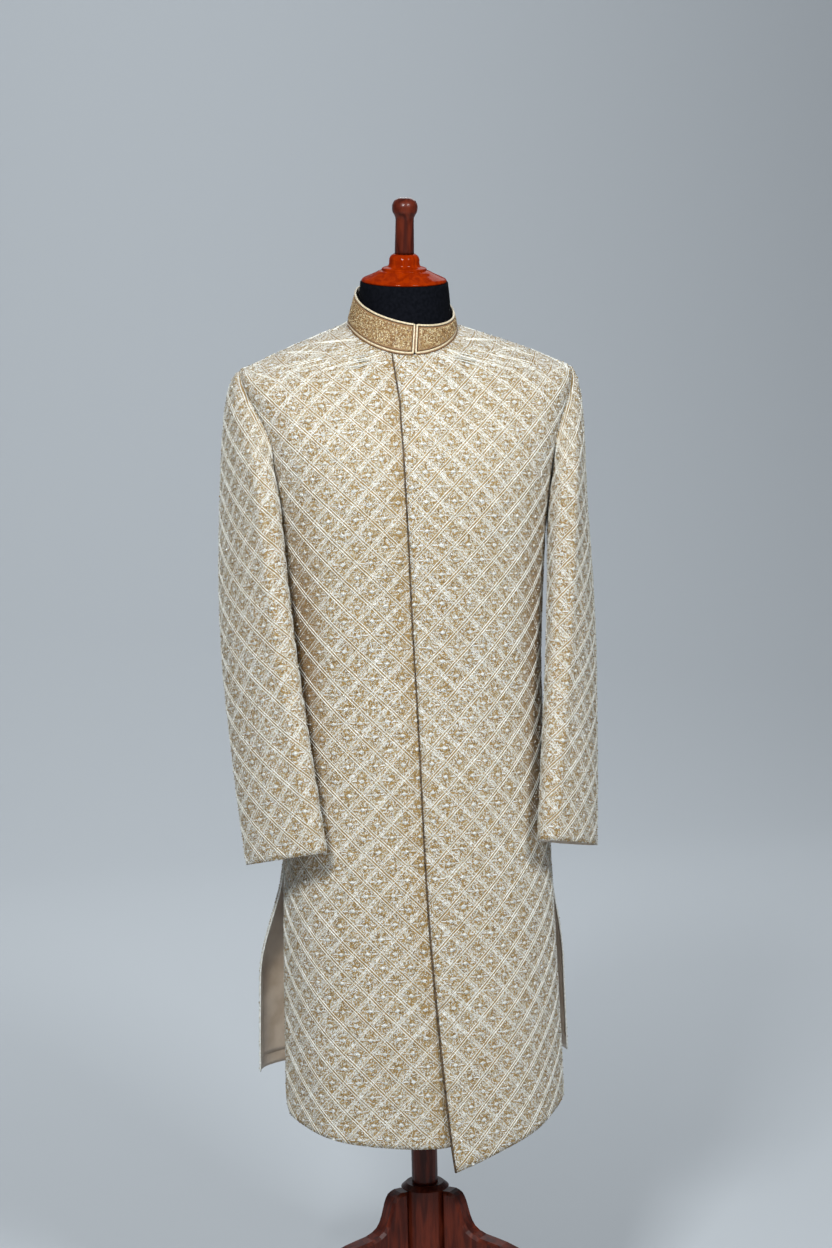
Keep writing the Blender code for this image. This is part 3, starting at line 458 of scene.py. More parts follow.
def embroidered(name):
    finish = Finish(name, IVORY, 0.5, sheen_weight=0.15, sheen_roughness=0.4)
    uv = finish.add("ShaderNodeUVMap", {"uv_map": "UVMap"}, {})
    wander = finish.noise(uv, 30.0, 1.0, flat=True)
    wander = (wander - 0.5) * 0.0022
    u, v = finish.axis(uv, 0) + wander, finish.axis(uv, 1) - wander
    crisp = (u / PITCH_U - v / PITCH_V).math("FRACT") - 0.5
    soft = (u / PITCH_U + v / PITCH_V).math("FRACT") - 0.5
    from_cord = (0.5 - crisp.math("ABSOLUTE")) * LINE_STEP
    from_band = (0.5 - soft.math("ABSOLUTE")) * LINE_STEP
    x = (crisp + soft) * (PITCH_U / 2)
    y = (soft - crisp) * (PITCH_V / 2)
    across, up = x.math("ABSOLUTE"), y.math("ABSOLUTE")
    # Seed beads, each with its own colour: white, ivory and beige ones, with more gold-brown ones in patches
    bead = finish.cells(uv, SEED_SCALE, "Distance", flat=True)
    chance = finish.cells(uv, SEED_SCALE, "Color", flat=True)
    first, second, third = (finish.channel(chance, k) for k in range(3))
    patch = finish.noise(uv, 110.0, flat=True)
    # The motif: brown marks above and below a pearl, and short brown spokes out to the diamond's corners
    ring = across / RING_WIDE + up / RING_TALL
    crescents = ring.rise(0.45, 0.55) * (1 - ring.rise(0.85, 1.10)) * up.rise(0.0012, 0.0022)
    spoke = across.rise(0.0075, 0.0090) * (1 - across.rise(0.0150, 0.0165)) * (1 - up.rise(0.0014, 0.0024))
    upright = up.rise(0.0085, 0.0100) * (1 - up.rise(0.0140, 0.0155)) * (1 - across.rise(0.0014, 0.0026))
    # Painted shade beside the over-front's edge: it darkens the ground there and turns more of its seed beads brown.
    beside_lap = finish.attribute("beside_lap")
    brown_share = 0.22 + crescents * 0.34 + (spoke + upright) * 0.14 + patch.rise(0.48, 0.68) * 0.12 + beside_lap * 0.24
    ground = finish.mix(first.rise(0.38, 0.42), WHITE, IVORY)
    ground = finish.mix(first.rise(0.72, 0.76), ground, BEIGE)
    ground = finish.mix((second - brown_share).rise(0.0, 0.03), BROWN, ground)
    ground = finish.mix(third.rise(0.86, 0.88) * 0.85, ground, UMBER)
    ground = finish.mix(bead.rise(0.36, 0.62) * 0.6, ground, BROWN)
    # A white bar beside the pearl, with a painted shadow in brown under it
    span = across.rise(0.0060, 0.0070) * (1 - across.rise(0.0120, 0.0132))
    bar = span * (1 - (y - 0.0005).math("ABSOLUTE").rise(0.0005, 0.0010))
    bar_shadow = span * (1 - (y + 0.0011).math("ABSOLUTE").rise(0.0004, 0.0009))
    some = worn_bars(finish, uv)
    ground = finish.mix(bar * some, ground, WHITE)
    ground = finish.mix(bar_shadow * some, ground, BROWN)
    pearl = 1 - ring.rise(0.34, 0.44)
    ground = finish.mix(pearl * 0.9, ground, WHITE)
    # Stitched bands: a pale stripe with a line of white thread at each side
    worn = finish.noise(uv, 22.0, 1.0, flat=True)
    band = 1 - from_band.rise(0.0024, 0.0030)
    side_line = 1 - (from_band - 0.0021).math("ABSOLUTE").rise(0.0003, 0.0007)
    ground = finish.mix(band * (0.04 + 0.14 * worn.rise(0.4, 0.6)), ground, WHITE)
    ground = finish.mix(side_line * 0.5, ground, WHITE)
    # Cords in pairs, with a brown gap between them and a thin shadow outside
    gap = 1 - from_cord.rise(0.0006, 0.0011)
    outside = from_cord.rise(0.0023, 0.0025) * (1 - from_cord.rise(0.0029, 0.0034))
    cords = from_cord.rise(0.0010, 0.0013) * (1 - from_cord.rise(0.0019, 0.0022))
    ground = finish.mix(cords * 0.5, ground, WHITE)
    ground = finish.mix(gap * (0.45 + 0.55 * worn.rise(0.35, 0.6)), ground, BROWN)
    ground = finish.mix(outside * (0.20 + 0.60 * worn.rise(0.45, 0.7)), ground, BROWN)
    # Slow changes of tone over the cloth, then painted shade in gold-brown beside the over-front's edge and beside the
    # sleeves
    tone = finish.noise(uv, 5.0, flat=True)
    ground = finish.mix(tone.rise(0.35, 0.70) * 0.10, ground, BEIGE)
    ground = finish.mix(beside_lap * 0.17, ground, BROWN)
    beside_arm = finish.attribute("beside_arm")
    ground = finish.mix(beside_arm * 0.88, ground, ARM_SHADE_TONE)
    paint(finish, ground, 0.58 - 0.22 * bead.rise(0.5, 0.1))
    pucker = finish.noise(uv, 42.0, 1.0, flat=True)
    height = pucker * 4.0 + (1 - bead.rise(0.05, 0.60)) * (1 - cords) * (1 - band * 0.5) + cords * 1.2 + side_line * 0.6
    finish.bump(height + pearl * 1.5 - gap * 0.6, 0.0007, 1.0)
    return finish


cloth = embroidered("embroidered_cloth")

# The lining is taupe satin with a fine diagonal weave. It is sewn in along the seams and shows in the slits, in the
# cuffs and under the hems.
lining = Finish("lining_satin", (0.50, 0.39, 0.28), 0.34, sheen_weight=0.3, anisotropic=0.3)
satin_at = lining.here()
pull = lining.noise(satin_at, 26.0, 3.0)
twill = lining.add("ShaderNodeTexWave", {"bands_direction": "DIAGONAL"}, {"Vector": satin_at, "Scale": 420.0})
paint(lining, lining.mix(pull.rise(0.3, 0.7), (0.43, 0.32, 0.22), (0.60, 0.48, 0.36)))
lining.bump(pull * 1.0 + twill * 0.05, 0.0020, 0.5)

# The two fronts. The left one lies over the right one, ends in a point at the middle and stands off a little
# there; both have a rounded corner at the side slit.
ARMHOLE_FRONT, ARMHOLE_BACK, ARMHOLE_SKEW = math.radians(26), math.radians(36), 0.28
HEM_PART_TOP, SLIT_TOP, SIDE_DEPTH = 0.560, 0.765, 0.14
FRONT_DRAW, DRAW_LENGTH = math.radians(9), 0.33
OVERLAP_Z = np.array([0.350, 0.400, 0.550, 0.750, 0.950, 1.150, 1.300, 1.436])
OVERLAP_X = np.array([0.016, 0.010, -0.001, -0.011, -0.015, -0.022, -0.0255, -0.0255])
UNDERLAP_X, UNDERLAP_MOST, UNDER_GAP, UNDER_EASE = 0.046, 0.55, 0.0016, 0.009
FLAP_LIFT, FLAP_TOP, FLAP_FADE, FLAP_WIDTH = 0.010, 0.66, 0.30, 0.12
TIP_Z, SIDE_HEM_Z, RIGHT_HEM_Z, BACK_HEM_Z, CORNER_RADIUS = 0.362, 0.425, 0.394, 0.458, 0.030
# The second value is how far the painted shade on the under-front reaches out from the over-front's edge.
WALL, LAP_SHADE_WIDTH = 0.0020, 0.035
# Where the painted shade beside the sleeves lies: how far out from the middle it starts, the distance over which it
# deepens, and the heights where it begins and fades.
ARM_SHADE_X, ARM_SHADE_WIDTH, ARM_SHADE_LOW, ARM_SHADE_HIGH = 0.122, 0.038, 0.74, 1.30


def armhole(turn_way, steps, shrink=0.0):
    """Half of the armhole seam, from the armpit up to the shoulder, as turns and distances along."""
    k = np.linspace(0, math.pi, steps + 1)
    along = (ARMPIT + SHOULDER) / 2 - ((SHOULDER - ARMPIT) / 2 - shrink) * np.cos(k)
    width = ARMHOLE_FRONT if turn_way < 0 else ARMHOLE_BACK
    depth = level("front" if turn_way < 0 else "back", along)
    turn = math.pi / 2 + turn_way * (width - shrink / depth) * np.sin(k) * (1 + ARMHOLE_SKEW * np.cos(k))
    return turn, along


def panel_rows(turn_way):
    low = np.linspace(along_at(HEM_PART_TOP), ARMPIT, 92)[:-1]
    arm_turn, arm_along = armhole(turn_way, 28)
    high = SHOULDER + (NECK - SHOULDER) * np.linspace(0, 1, 22)[1:]
    along = np.concatenate([low, arm_along, high])
    turn = np.full(len(along), math.pi / 2)
    turn[len(low) : len(low) + len(arm_turn)] = arm_turn
    depth = level("front" if turn_way < 0 else "back", along)
    return along, turn + turn_way * SEAM_GAP / 2 / depth


def overlap_x(height):
    return smooth_curve(OVERLAP_Z, OVERLAP_X, height)


def front_draw(height):
    return FRONT_DRAW * ease((SLIT_TOP - height) / DRAW_LENGTH)


def front_hem(side, across):
    inside = np.clip(CORNER_RADIUS - HALF_WIDTH[0] * (math.pi / 2) * (1 - across), 0, CORNER_RADIUS)
    middle, bend = (TIP_Z, 0.9) if side > 0 else (RIGHT_HEM_Z, 2.0)
    line = middle + (SIDE_HEM_Z - middle) * across**bend
    return line + CORNER_RADIUS - np.sqrt(CORNER_RADIUS**2 - inside**2)


def front_row(side, height, along, end, across):
    """The turns of a front's points on a row. The right one starts beneath the left one."""
    half = level("half_width", along)
    edge = np.arcsin(side * overlap_x(height) / half)
    if side < 0:
        edge = -np.arcsin(np.minimum(UNDERLAP_X, UNDERLAP_MOST * half) / half)
    return edge + (end - edge) * across


def front_panel(name, side):
    across = np.concatenate([np.linspace(0, 0.96, 46), [0.975, 0.985, 0.993, 1.0]])
    hem_across = np.clip(across if side > 0 else (across - 0.16) / 0.84, 0, 1)
    hem = front_hem(side, hem_across)
    turns, alongs = [], []
    for f in np.linspace(0, 1, 25)[:-1]:
        here = along_at(hem + (HEM_PART_TOP - hem) * f)
        height = level("side_z", here)
        last = math.pi / 2 - SEAM_GAP / 2 / SIDE_DEPTH - front_draw(height)
        turns.append(front_row(side, height, here, last, across))
        alongs.append(here)
    for here, last in zip(*panel_rows(-1)):
        last = last - front_draw(level("side_z", here))
        turns.append(front_row(side, level("front_z", here), here, last, across))
        alongs.append(np.full(len(across), here))
    turn, along = np.array(turns), np.array(alongs)
    u, v = cloth_measure(np.abs(turn), along, FRONT_FLAT)
    u = np.where(turn < 0, -u, u)
    points, normal = body_surface(side * turn, along), body_normal(side * turn, along)
    from_edge = points[..., 0] - overlap_x(points[..., 2])
    if side > 0:
        lift = FLAP_LIFT * ease((FLAP_TOP - points[..., 2]) / FLAP_FADE) * (1 - ease(from_edge / FLAP_WIDTH))
        return Panel(name, points + normal * lift[..., None], normal, u, v)
    sunk = (WALL + UNDER_GAP) * ease(1.03 + from_edge / UNDER_EASE)
    points = points - normal * sunk[..., None]
    return Panel(name, points[:, ::-1], normal[:, ::-1], u[:, ::-1], v[:, ::-1])


left_front = front_panel("left_front_cloth", 1)
right_front = front_panel("right_front_cloth", -1)
left_cloth = left_front.make(cloth, lining)
right_cloth = right_front.make(cloth, lining)
# Painted shade: both fronts are darkened to gold-brown beside the sleeves, where the sleeves shade the body, and the
# under-front is darkened beside the over-front's edge, in the shade of its step.
for panel, piece in ((left_front, left_cloth), (right_front, right_cloth)):
    spots = panel.outer.reshape(-1, 3)
    beside_arm = ease((np.abs(spots[:, 0]) - ARM_SHADE_X) / ARM_SHADE_WIDTH) * ease((spots[:, 2] - ARM_SHADE_LOW) / 0.08)
    beside_arm *= ease((ARM_SHADE_HIGH - spots[:, 2]) / 0.25)
    shade_marks = {"beside_arm": beside_arm}
    if piece is right_cloth:
        shade_marks["beside_lap"] = ease(1 + (spots[:, 0] - overlap_x(spots[:, 2])) / LAP_SHADE_WIDTH)
    for word, values in shade_marks.items():
        layer = piece.data.attributes.new(word, "FLOAT", "POINT")
        layer.data.foreach_set("value", np.tile(values, 2).astype(np.float32))
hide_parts("left_front")
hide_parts("right_front")

# The back is one piece of the same cloth, sewn to the fronts at the shoulders and at the sides above the slits.
# Below them its edges stand out behind the fronts and show their lining.
BACK_FLARE_X, BACK_FLARE_Y, FLARE_SPREAD, FLARE_LENGTH = 0.026, 0.046, math.radians(52), 0.175
along, start = panel_rows(1)
low = along_at(np.linspace(BACK_HEM_Z, HEM_PART_TOP, 18)[:-1])
along = np.concatenate([low, along])
start = np.concatenate([np.full(len(low), math.pi / 2 + SEAM_GAP / 2 / SIDE_DEPTH), start])
across = np.linspace(0, 1, 90)
back_turn = start[:, None] + (2 * math.pi - 2 * start)[:, None] * across
back_along = np.repeat(along[:, None], len(across), axis=1)
back_points = body_surface(back_turn, back_along)
from_edge = np.minimum(np.abs(back_turn - math.pi / 2), np.abs(back_turn - 3 * math.pi / 2))
open_here = ease((SLIT_TOP - back_points[..., 2]) / FLARE_LENGTH) * ease(1 - from_edge / FLARE_SPREAD)
back_points[..., 0] += BACK_FLARE_X * open_here * np.sign(back_points[..., 0])
back_points[..., 1] += BACK_FLARE_Y * open_here
back_out, back_up = cloth_measure(np.abs(math.pi - back_turn), back_along, BACK_FLAT)
back_out *= np.sign(back_turn - math.pi)
back_panel = Panel("back_cloth", back_points, grid_normals(back_points), back_out, back_up)
back_cloth = back_panel.make(cloth, lining)
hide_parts("back")

# The back's skirt is lined with a separate sheet of satin, which is sewn to the cloth a little inside the slits and
# the hem, and is seen from the front between the back's skirt and the fronts.
SKIRT_TOP, SATIN_DEPTH, SATIN_THICK, SLIT_INSET, HEM_ROWS = 0.800, 0.0024, 0.0009, 0.7, 3
skirt_rows = int(np.searchsorted(back_points[:, 0, 2], SKIRT_TOP)) + 1
skin = (back_points - back_panel.normal * SATIN_DEPTH)[:skirt_rows]
skin[:, 0] += (skin[:, 1] - skin[:, 0]) * SLIT_INSET
skin[:, -1] += (skin[:, -2] - skin[:, -1]) * SLIT_INSET
lined = slice(HEM_ROWS, skirt_rows)
skirt_lining = Panel("back_skirt_lining", skin[lined],
                     back_panel.normal[lined], back_panel.u[lined], back_panel.v[lined])
skirt_satin = skirt_lining.make(lining, lining, SATIN_THICK)
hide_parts("back_lining")

# The sleeves are narrow tubes set into the armholes. They hang a little forward, their front edges turn inwards,
# and a pressed crease runs down each one between its front and its outer side.
SLEEVE_COLUMNS = ("height", "out", "back", "half_thick", "half_broad", "toe_in")
SLEEVE_SECTIONS = np.array((
    (0.780, 0.1900, -0.086, 0.0265, 0.0655, 43),
    (0.860, 0.1980, -0.069, 0.0270, 0.0680, 39),
    (0.950, 0.2060, -0.050, 0.0275, 0.0710, 34),
    (1.060, 0.2140, -0.030, 0.0280, 0.0750, 28),
    (1.160, 0.2168, -0.016, 0.0276, 0.0780, 22),
    (1.238, 0.2170, -0.008, 0.0264, 0.0800, 17),
))
HEAD_FRONT_REACH, HEAD_BACK_REACH, HEAD_DROP, HEAD_SLOPE = 0.22, 0.58, 0.80, -0.12
CREASE_DEPTH, CREASE_WIDTH, CREASE_AT = 0.0022, 0.16, 0.62
ARM_STEPS = 28


def sleeve_read(name, height):
    return smooth_curve(SLEEVE_SECTIONS[:, 0], SLEEVE_SECTIONS[:, SLEEVE_COLUMNS.index(name)], np.array(height))


def sleeve_ring(height, side):
    toe = math.radians(float(sleeve_read("toe_in", height)))
    low, high = max(height - 0.02, SLEEVE_SECTIONS[0, 0]), min(height + 0.02, SLEEVE_SECTIONS[-1, 0])
    lean = [(sleeve_read(n, high) - sleeve_read(n, low)) / (high - low) for n in ("out", "back")]
    k = np.arange(2 * ARM_STEPS) * math.pi / ARM_STEPS
    sizes = sleeve_read("half_thick", height), sleeve_read("half_broad", height), sleeve_read("half_broad", height)
    inward, forward = rounded_section(math.pi / 2 - k, *sizes)
    crease = 1 + CREASE_DEPTH / 0.05 * np.exp(-(((k - math.pi / 2 - CREASE_AT) / CREASE_WIDTH) ** 2)) * 1.6
    inward, forward = inward * crease, forward * crease
    x = sleeve_read("out", height) - inward * math.cos(toe) + forward * math.sin(toe)
    y = sleeve_read("back", height) + inward * math.sin(toe) + forward * math.cos(toe)
    rise = -(x - sleeve_read("out", height)) * lean[0] - (y - sleeve_read("back", height)) * lean[1]
    return np.stack([side * x, y, height + rise], -1)


def sleeve_panel(name, side):
    heights = np.linspace(SLEEVE_SECTIONS[0, 0], SLEEVE_SECTIONS[-1, 0], 64)
    arm = [sleeve_ring(height, side) for height in heights]
    front_turn, front_along = armhole(-1, ARM_STEPS, SEAM_GAP)
    rear_turn, rear_along = armhole(1, ARM_STEPS, SEAM_GAP)
    seam = body_surface(np.concatenate([front_turn, rear_turn[-2:0:-1]]),
                        np.concatenate([front_along, rear_along[-2:0:-1]]))
    seam[:, 0] *= side
    span = np.linalg.norm(seam - arm[-1], axis=1, keepdims=True)
    backness = ease(0.5 + seam[:, 1:2] / (2 * SLEEVE_SECTIONS[-1, 4]))
    reach = HEAD_FRONT_REACH + (HEAD_BACK_REACH - HEAD_FRONT_REACH) * backness
    leave = span * reach * np.array([side, 0.0, HEAD_SLOPE])
    meet = arm[-1] - arm[-2]
    meet = -span * HEAD_DROP * meet / np.linalg.norm(meet, axis=1, keepdims=True)
    head = []
    for f in np.linspace(1, 0, 23)[1:]:
        blend = seam * (2 * f**3 - 3 * f**2 + 1) + arm[-1] * (3 * f**2 - 2 * f**3)
        head.append(blend + leave * (f**3 - 2 * f**2 + f) + meet * (f**3 - f**2))
    rings = np.array(arm + head)
    v = steps_along(rings, 0) + 0.78
    around = np.concatenate([rings, rings[:, :1]], axis=1)
    u = steps_along(around, 1)
    u = u - u[:, ARM_STEPS // 2 : ARM_STEPS // 2 + 1]
    rings = around
    if side < 0:
        rings, u = rings[:, ::-1], u[:, ::-1]
        v = v[:, ::-1]
    v = np.concatenate([v, v[:, :1]], axis=1) if side > 0 else np.concatenate([v[:, -1:], v], axis=1)
    ring_normal = grid_normals(rings[:, :-1], True)
    normal = np.concatenate([ring_normal, ring_normal[:, :1]], axis=1)
    return Panel(name, rings, normal, u, v)


left_sleeve = sleeve_panel("left_sleeve_cloth", 1)
right_sleeve = sleeve_panel("right_sleeve_cloth", -1)
for panel, node in ((left_sleeve, "left_sleeve"), (right_sleeve, "right_sleeve")):
    sleeve = panel.make(cloth, lining)
    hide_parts(node)
PANELS = (left_front, right_front, back_panel, left_sleeve, right_sleeve)

# The raised embroidery begins with pairs of twisted ivory cords. They are couched by hand on every panel, along one
# family of the lattice's lines.
CORD_HEIGHT, CORD_STEP = 0.0010, 0.0085


def mottled(name, colour, roughness, scale, dark, light, share=(0.35, 0.65), twist=False, **constants):
    """A finish that wavers between a dark and a light tone; a twist is a fine relief as well."""
    finish = Finish(name, colour, roughness, **constants)
    tone = finish.noise(finish.here(), scale)
    paint(finish, finish.mix(tone.rise(*share), dark, light))
    if twist:
        finish.bump(tone, 0.0005, 0.6)
    return finish


ivory_cord = mottled("ivory_cord", WHITE, 0.5, 330.0, IVORY, (0.90, 0.89, 0.84), twist=True, sheen_weight=0.2)


def ridge(points, normals, half_width, height):
    """The points and faces of a low closed ridge along a line that lies on the cloth."""
    ahead = np.gradient(points, axis=0)
    across = np.cross(ahead, normals)
    across /= np.linalg.norm(across, axis=1, keepdims=True)
    section = ((-1, -0.3), (0, 1), (1, -0.3))
    rings = np.stack([points + across * half_width * a + normals * height * b for a, b in section], 1)
    count, size = len(points), len(section)
    low = np.arange(count - 1)[:, None] * size
    k = np.arange(size)[None, :]
    faces = np.stack([low + k, low + size + k, low + size + (k + 1) % size, low + (k + 1) % size], -1).reshape(-1, 4)
    ends = [list(range(size)), [(count - 1) * size + i for i in range(size)][::-1]]
    return rings.reshape(-1, 3), faces.tolist() + ends


def on_lines(panel, family, offsets, step):
    """Runs of points along the lattice's lines of one family that lie on a panel."""
    low_u, high_u = panel.u.min(), panel.u.max()
    low_v, high_v = panel.v.min(), panel.v.max()
    tilt = np.array([PITCH_U, family * PITCH_V])
    unit = tilt / np.linalg.norm(tilt)
    square = np.array([unit[1], -unit[0]])
    runs = []
    ends = [family * u / PITCH_U - v / PITCH_V for u in (low_u, high_u) for v in (low_v, high_v)]
    for number in range(math.floor(min(ends)) - 1, math.ceil(max(ends)) + 2):
        v = np.arange(low_v, high_v + step, step * abs(unit[1]))
        u = family * (number + v / PITCH_V) * PITCH_U
        keep = (u > low_u - 0.01) & (u < high_u + 0.01)
        if keep.sum() < 3:
            continue
        for offset in offsets:
            points, normals, on = panel.find(u[keep] + square[0] * offset, v[keep] + square[1] * offset)
            starts = np.flatnonzero(np.diff(np.concatenate([[0], on.astype(int), [0]])))
            for first, last in zip(starts[::2], starts[1::2]):
                if last - first >= 3:
                    runs.append((points[first:last], normals[first:last]))
    return runs


def joined(name, parts, finish):
    """One piece from many sets of points and faces."""
    points, faces, start = [], [], 0
    for part_points, part_faces in parts:
        points.append(part_points)
        faces.extend([[start + i for i in face] for face in part_faces])
        start += len(part_points)
    return new_piece(name, np.concatenate(points) + np.array(AXIS), faces, finish)


trims = {panel.name: [] for panel in PANELS}
for panel in PANELS:
    runs = on_lines(panel, 1, (-CORD_OFFSET, CORD_OFFSET), CORD_STEP)
    cords = joined(panel.name.replace("cloth", "cords"),
                   [ridge(p, n, CORD_RADIUS, CORD_HEIGHT) for p, n in runs], ivory_cord)
    trims[panel.name].append(cords)

# The lattice's other family of lines is a broad band of ivory satin stitches. The stitches are drawn in the cloth's
# finish; these are the two lines of raised thread that they are laid between.
THREAD_OFFSET, THREAD_RADIUS, THREAD_HEIGHT, THREAD_STEP = 0.0021, 0.00042, 0.0005, 0.012
for panel in PANELS:
    runs = on_lines(panel, -1, (-THREAD_OFFSET, THREAD_OFFSET), THREAD_STEP)
    bands = joined(panel.name.replace("cloth", "bands"),
                   [ridge(p, n, THREAD_RADIUS, THREAD_HEIGHT) for p, n in runs], ivory_cord)
    trims[panel.name].append(bands)

# A flat pearl is sewn at the middle of each diamond, and 18 glass seed beads on edge round it: more gold-brown ones
# close above, below and beside the pearl, and more ivory ones over the rest of the ground.
PEARL_SIZE, BEAD_SIZE, SPOKE_HALF = (0.0021, 0.0014, 0.0009), (0.00085, 0.00085, 0.0017), 0.0018
GOLD_IN_MOTIF, GOLD_OUTSIDE = 0.50, 0.30


def bead_finish(name, colour, roughness, scale, dark, light, bright=None, **constants):
    """Glass beads, each with a tone of its own between a dark and a light one, or for about a quarter a bright one."""
    finish = Finish(name, colour, roughness, **constants)
    each = finish.cells(finish.here(), scale, "Color")
    tone = finish.mix(finish.channel(each, 0), dark, light)
    if bright:
        tone = finish.mix(finish.channel(each, 1).rise(0.72, 0.78), tone, bright)
    paint(finish, tone)
    return finish


pearl_white = mottled("pearl_white", (0.66, 0.64, 0.56), 0.30, 180.0, (0.58, 0.55, 0.45), (0.74, 0.73, 0.67),
                      coat_weight=0.25)
gold_bead = bead_finish("gold_bead", (0.36, 0.20, 0.07), 0.26, 260.0, (0.16, 0.085, 0.022), (0.48, 0.33, 0.12),
                        metallic=0.35, coat_weight=0.3)
ivory_bead = bead_finish("ivory_bead", (0.74, 0.71, 0.64), 0.25, 300.0, (0.46, 0.42, 0.29), (0.84, 0.84, 0.78),
                         coat_weight=0.4)


def modelled(add, **sizes):
    """The points and faces of a small shape that one of Blender's tools adds, cut flat a little below its middle."""
    bpy.ops.object.select_all(action="DESELECT")
    add(**sizes)
    model = bpy.context.object
    bpy.ops.object.mode_set(mode="EDIT")
    bpy.ops.mesh.select_all(action="SELECT")
    bpy.ops.mesh.bisect(plane_co=(0, 0, -0.25), plane_no=(0, 0, 1), use_fill=True, clear_inner=True)
    bpy.ops.object.mode_set(mode="OBJECT")
    points = np.array([vert.co[:] for vert in model.data.vertices])
    faces = sorted(list(face.vertices) for face in model.data.polygons)  # the cut leaves them in no fixed order
    bpy.data.objects.remove(model)
    return points, faces


PEARL_SHAPE = modelled(bpy.ops.mesh.primitive_uv_sphere_add, segments=8, ring_count=4, radius=1.0)
BEAD_SHAPE = modelled(bpy.ops.mesh.primitive_cone_add, vertices=4, radius1=1.15, radius2=0.55, depth=1.2)


def sewn_on(name, panel, shape, u, v, sizes, turns, finish):
    """Copies of a dome, sewn on the panel at points of the flat cloth."""
    places, normals, on = panel.find(u, v)
    places, normals, sizes, turns = places[on], normals[on], sizes[on], turns[on]
    side = np.cross(np.array([0.0, 0.0, 1.0]), normals)
    side /= np.linalg.norm(side, axis=1, keepdims=True)
    up = np.cross(normals, side)
    ahead = side * np.cos(turns)[:, None] + up * np.sin(turns)[:, None]
    beside = np.cross(normals, ahead)
    shape_points, shape_faces = shape
    points = (places[:, None]
              + ahead[:, None] * (shape_points[None, :, 0:1] * sizes[:, None, 0:1])
              + beside[:, None] * (shape_points[None, :, 1:2] * sizes[:, None, 1:2])
              + normals[:, None] * (shape_points[None, :, 2:3] * sizes[:, None, 2:3]))
    faces = []
    for face in shape_faces:
        faces.extend((np.array(face)[None, :] + np.arange(len(places))[:, None] * len(shape_points)).tolist())
    piece = new_piece(name, points.reshape(-1, 3) + np.array(AXIS), faces, finish)
    return piece


chance = np.random.default_rng(7)
BEAD_CRISP, BEAD_SOFT = np.meshgrid((-0.33, 0.0, 0.33), (-0.43, -0.26, -0.09, 0.09, 0.26, 0.43))
BEAD_CRISP, BEAD_SOFT = BEAD_CRISP.ravel(), BEAD_SOFT.ravel()
BEADS_EACH = len(BEAD_CRISP)
for panel in PANELS:
    first = math.floor(panel.u.min() / PITCH_U - panel.v.max() / PITCH_V) - 1
    last = math.ceil(panel.u.max() / PITCH_U - panel.v.min() / PITCH_V) + 1
    low = math.floor(panel.u.min() / PITCH_U + panel.v.min() / PITCH_V) - 1
    high = math.ceil(panel.u.max() / PITCH_U + panel.v.max() / PITCH_V) + 1
    crisp, soft = np.meshgrid(np.arange(first, last) + 0.5, np.arange(low, high) + 0.5, indexing="ij")
    centre_u = ((crisp + soft) * PITCH_U / 2).ravel()
    centre_v = ((soft - crisp) * PITCH_V / 2).ravel()
    near = (centre_u > panel.u.min() - 0.02) & (centre_u < panel.u.max() + 0.02)
    near &= (centre_v > panel.v.min() - 0.02) & (centre_v < panel.v.max() + 0.02)
    centre_u, centre_v = centre_u[near], centre_v[near]
    count = len(centre_u)
    sizes = np.array(PEARL_SIZE) * chance.uniform(0.6, 1.15, (count, 1))
    pearls = sewn_on(panel.name.replace("cloth", "pearls"), panel, PEARL_SHAPE, centre_u, centre_v, sizes,
                     np.zeros(count), pearl_white)
    trims[panel.name].append(pearls)
    crisp = BEAD_CRISP + chance.uniform(-0.08, 0.08, (count, BEADS_EACH))
    soft = BEAD_SOFT + chance.uniform(-0.07, 0.07, (count, BEADS_EACH))
    out, up = (crisp + soft) * PITCH_U / 2, (soft - crisp) * PITCH_V / 2
    ring = np.abs(out) / RING_WIDE + np.abs(up) / RING_TALL
    in_motif = (ring > 0.42) & (ring < 1.2) & (np.abs(up) > 0.0012)
    in_motif |= np.minimum(np.abs(out), np.abs(up)) < SPOKE_HALF
    golden = (chance.uniform(0, 1, (count, BEADS_EACH)) < np.where(in_motif, GOLD_IN_MOTIF, GOLD_OUTSIDE)).ravel()
    u, v = (centre_u[:, None] + out).ravel(), (centre_v[:, None] + up).ravel()
    sizes = np.array(BEAD_SIZE) * chance.uniform(0.7, 1.35, (len(u), 1))
    turns = chance.uniform(0, math.pi / 2, len(u))
    for word, chosen, finish in (("gold_beads", golden, gold_bead), ("ivory_beads", ~golden, ivory_bead)):
        beads = sewn_on(panel.name.replace("cloth", word), panel, BEAD_SHAPE, u[chosen], v[chosen], sizes[chosen],
                        turns[chosen], finish)
        trims[panel.name].append(beads)

# The collar is a stiff band that stands straight up from the neck's seam and meets edge to edge in front. It is
# covered with rows of tiny tan, copper and brown beads, inside a plain border along its edges.
COLLAR_MIDDLE_X, NECK_RADIUS, COLLAR_WALL = 0.0025, 0.0740, 0.0026
COLLAR_TOP_Z, COLLAR_TOP_TILT, COLLAR_TOP_LEAN = 1.503, 0.0310, 0.009
COLLAR_STAND_OUT, COLLAR_LEAN_IN = 0.0012, 0.0062
PIPING_RADIUS, PIPING_GAP = 0.0014, 0.0007
COLLAR_ROWS, COLLAR_STEPS, COLLAR_SEEDS, COLLAR_BEAD_STEP = 15, 161, 480.0, 0.0022


def over_slope(height_at, turn, distance):
    step = 0.02
    slope = (height_at(turn + step) - height_at(turn - step)) / (2 * step * NECK_RADIUS)
    return distance * np.sqrt(1 + slope**2)


def neck_height(turn):
    return body_surface(turn, NECK)[..., 2]


def collar_top_height(turn):
    return COLLAR_TOP_Z - COLLAR_TOP_TILT * np.cos(turn) - COLLAR_TOP_LEAN * np.sin(turn)


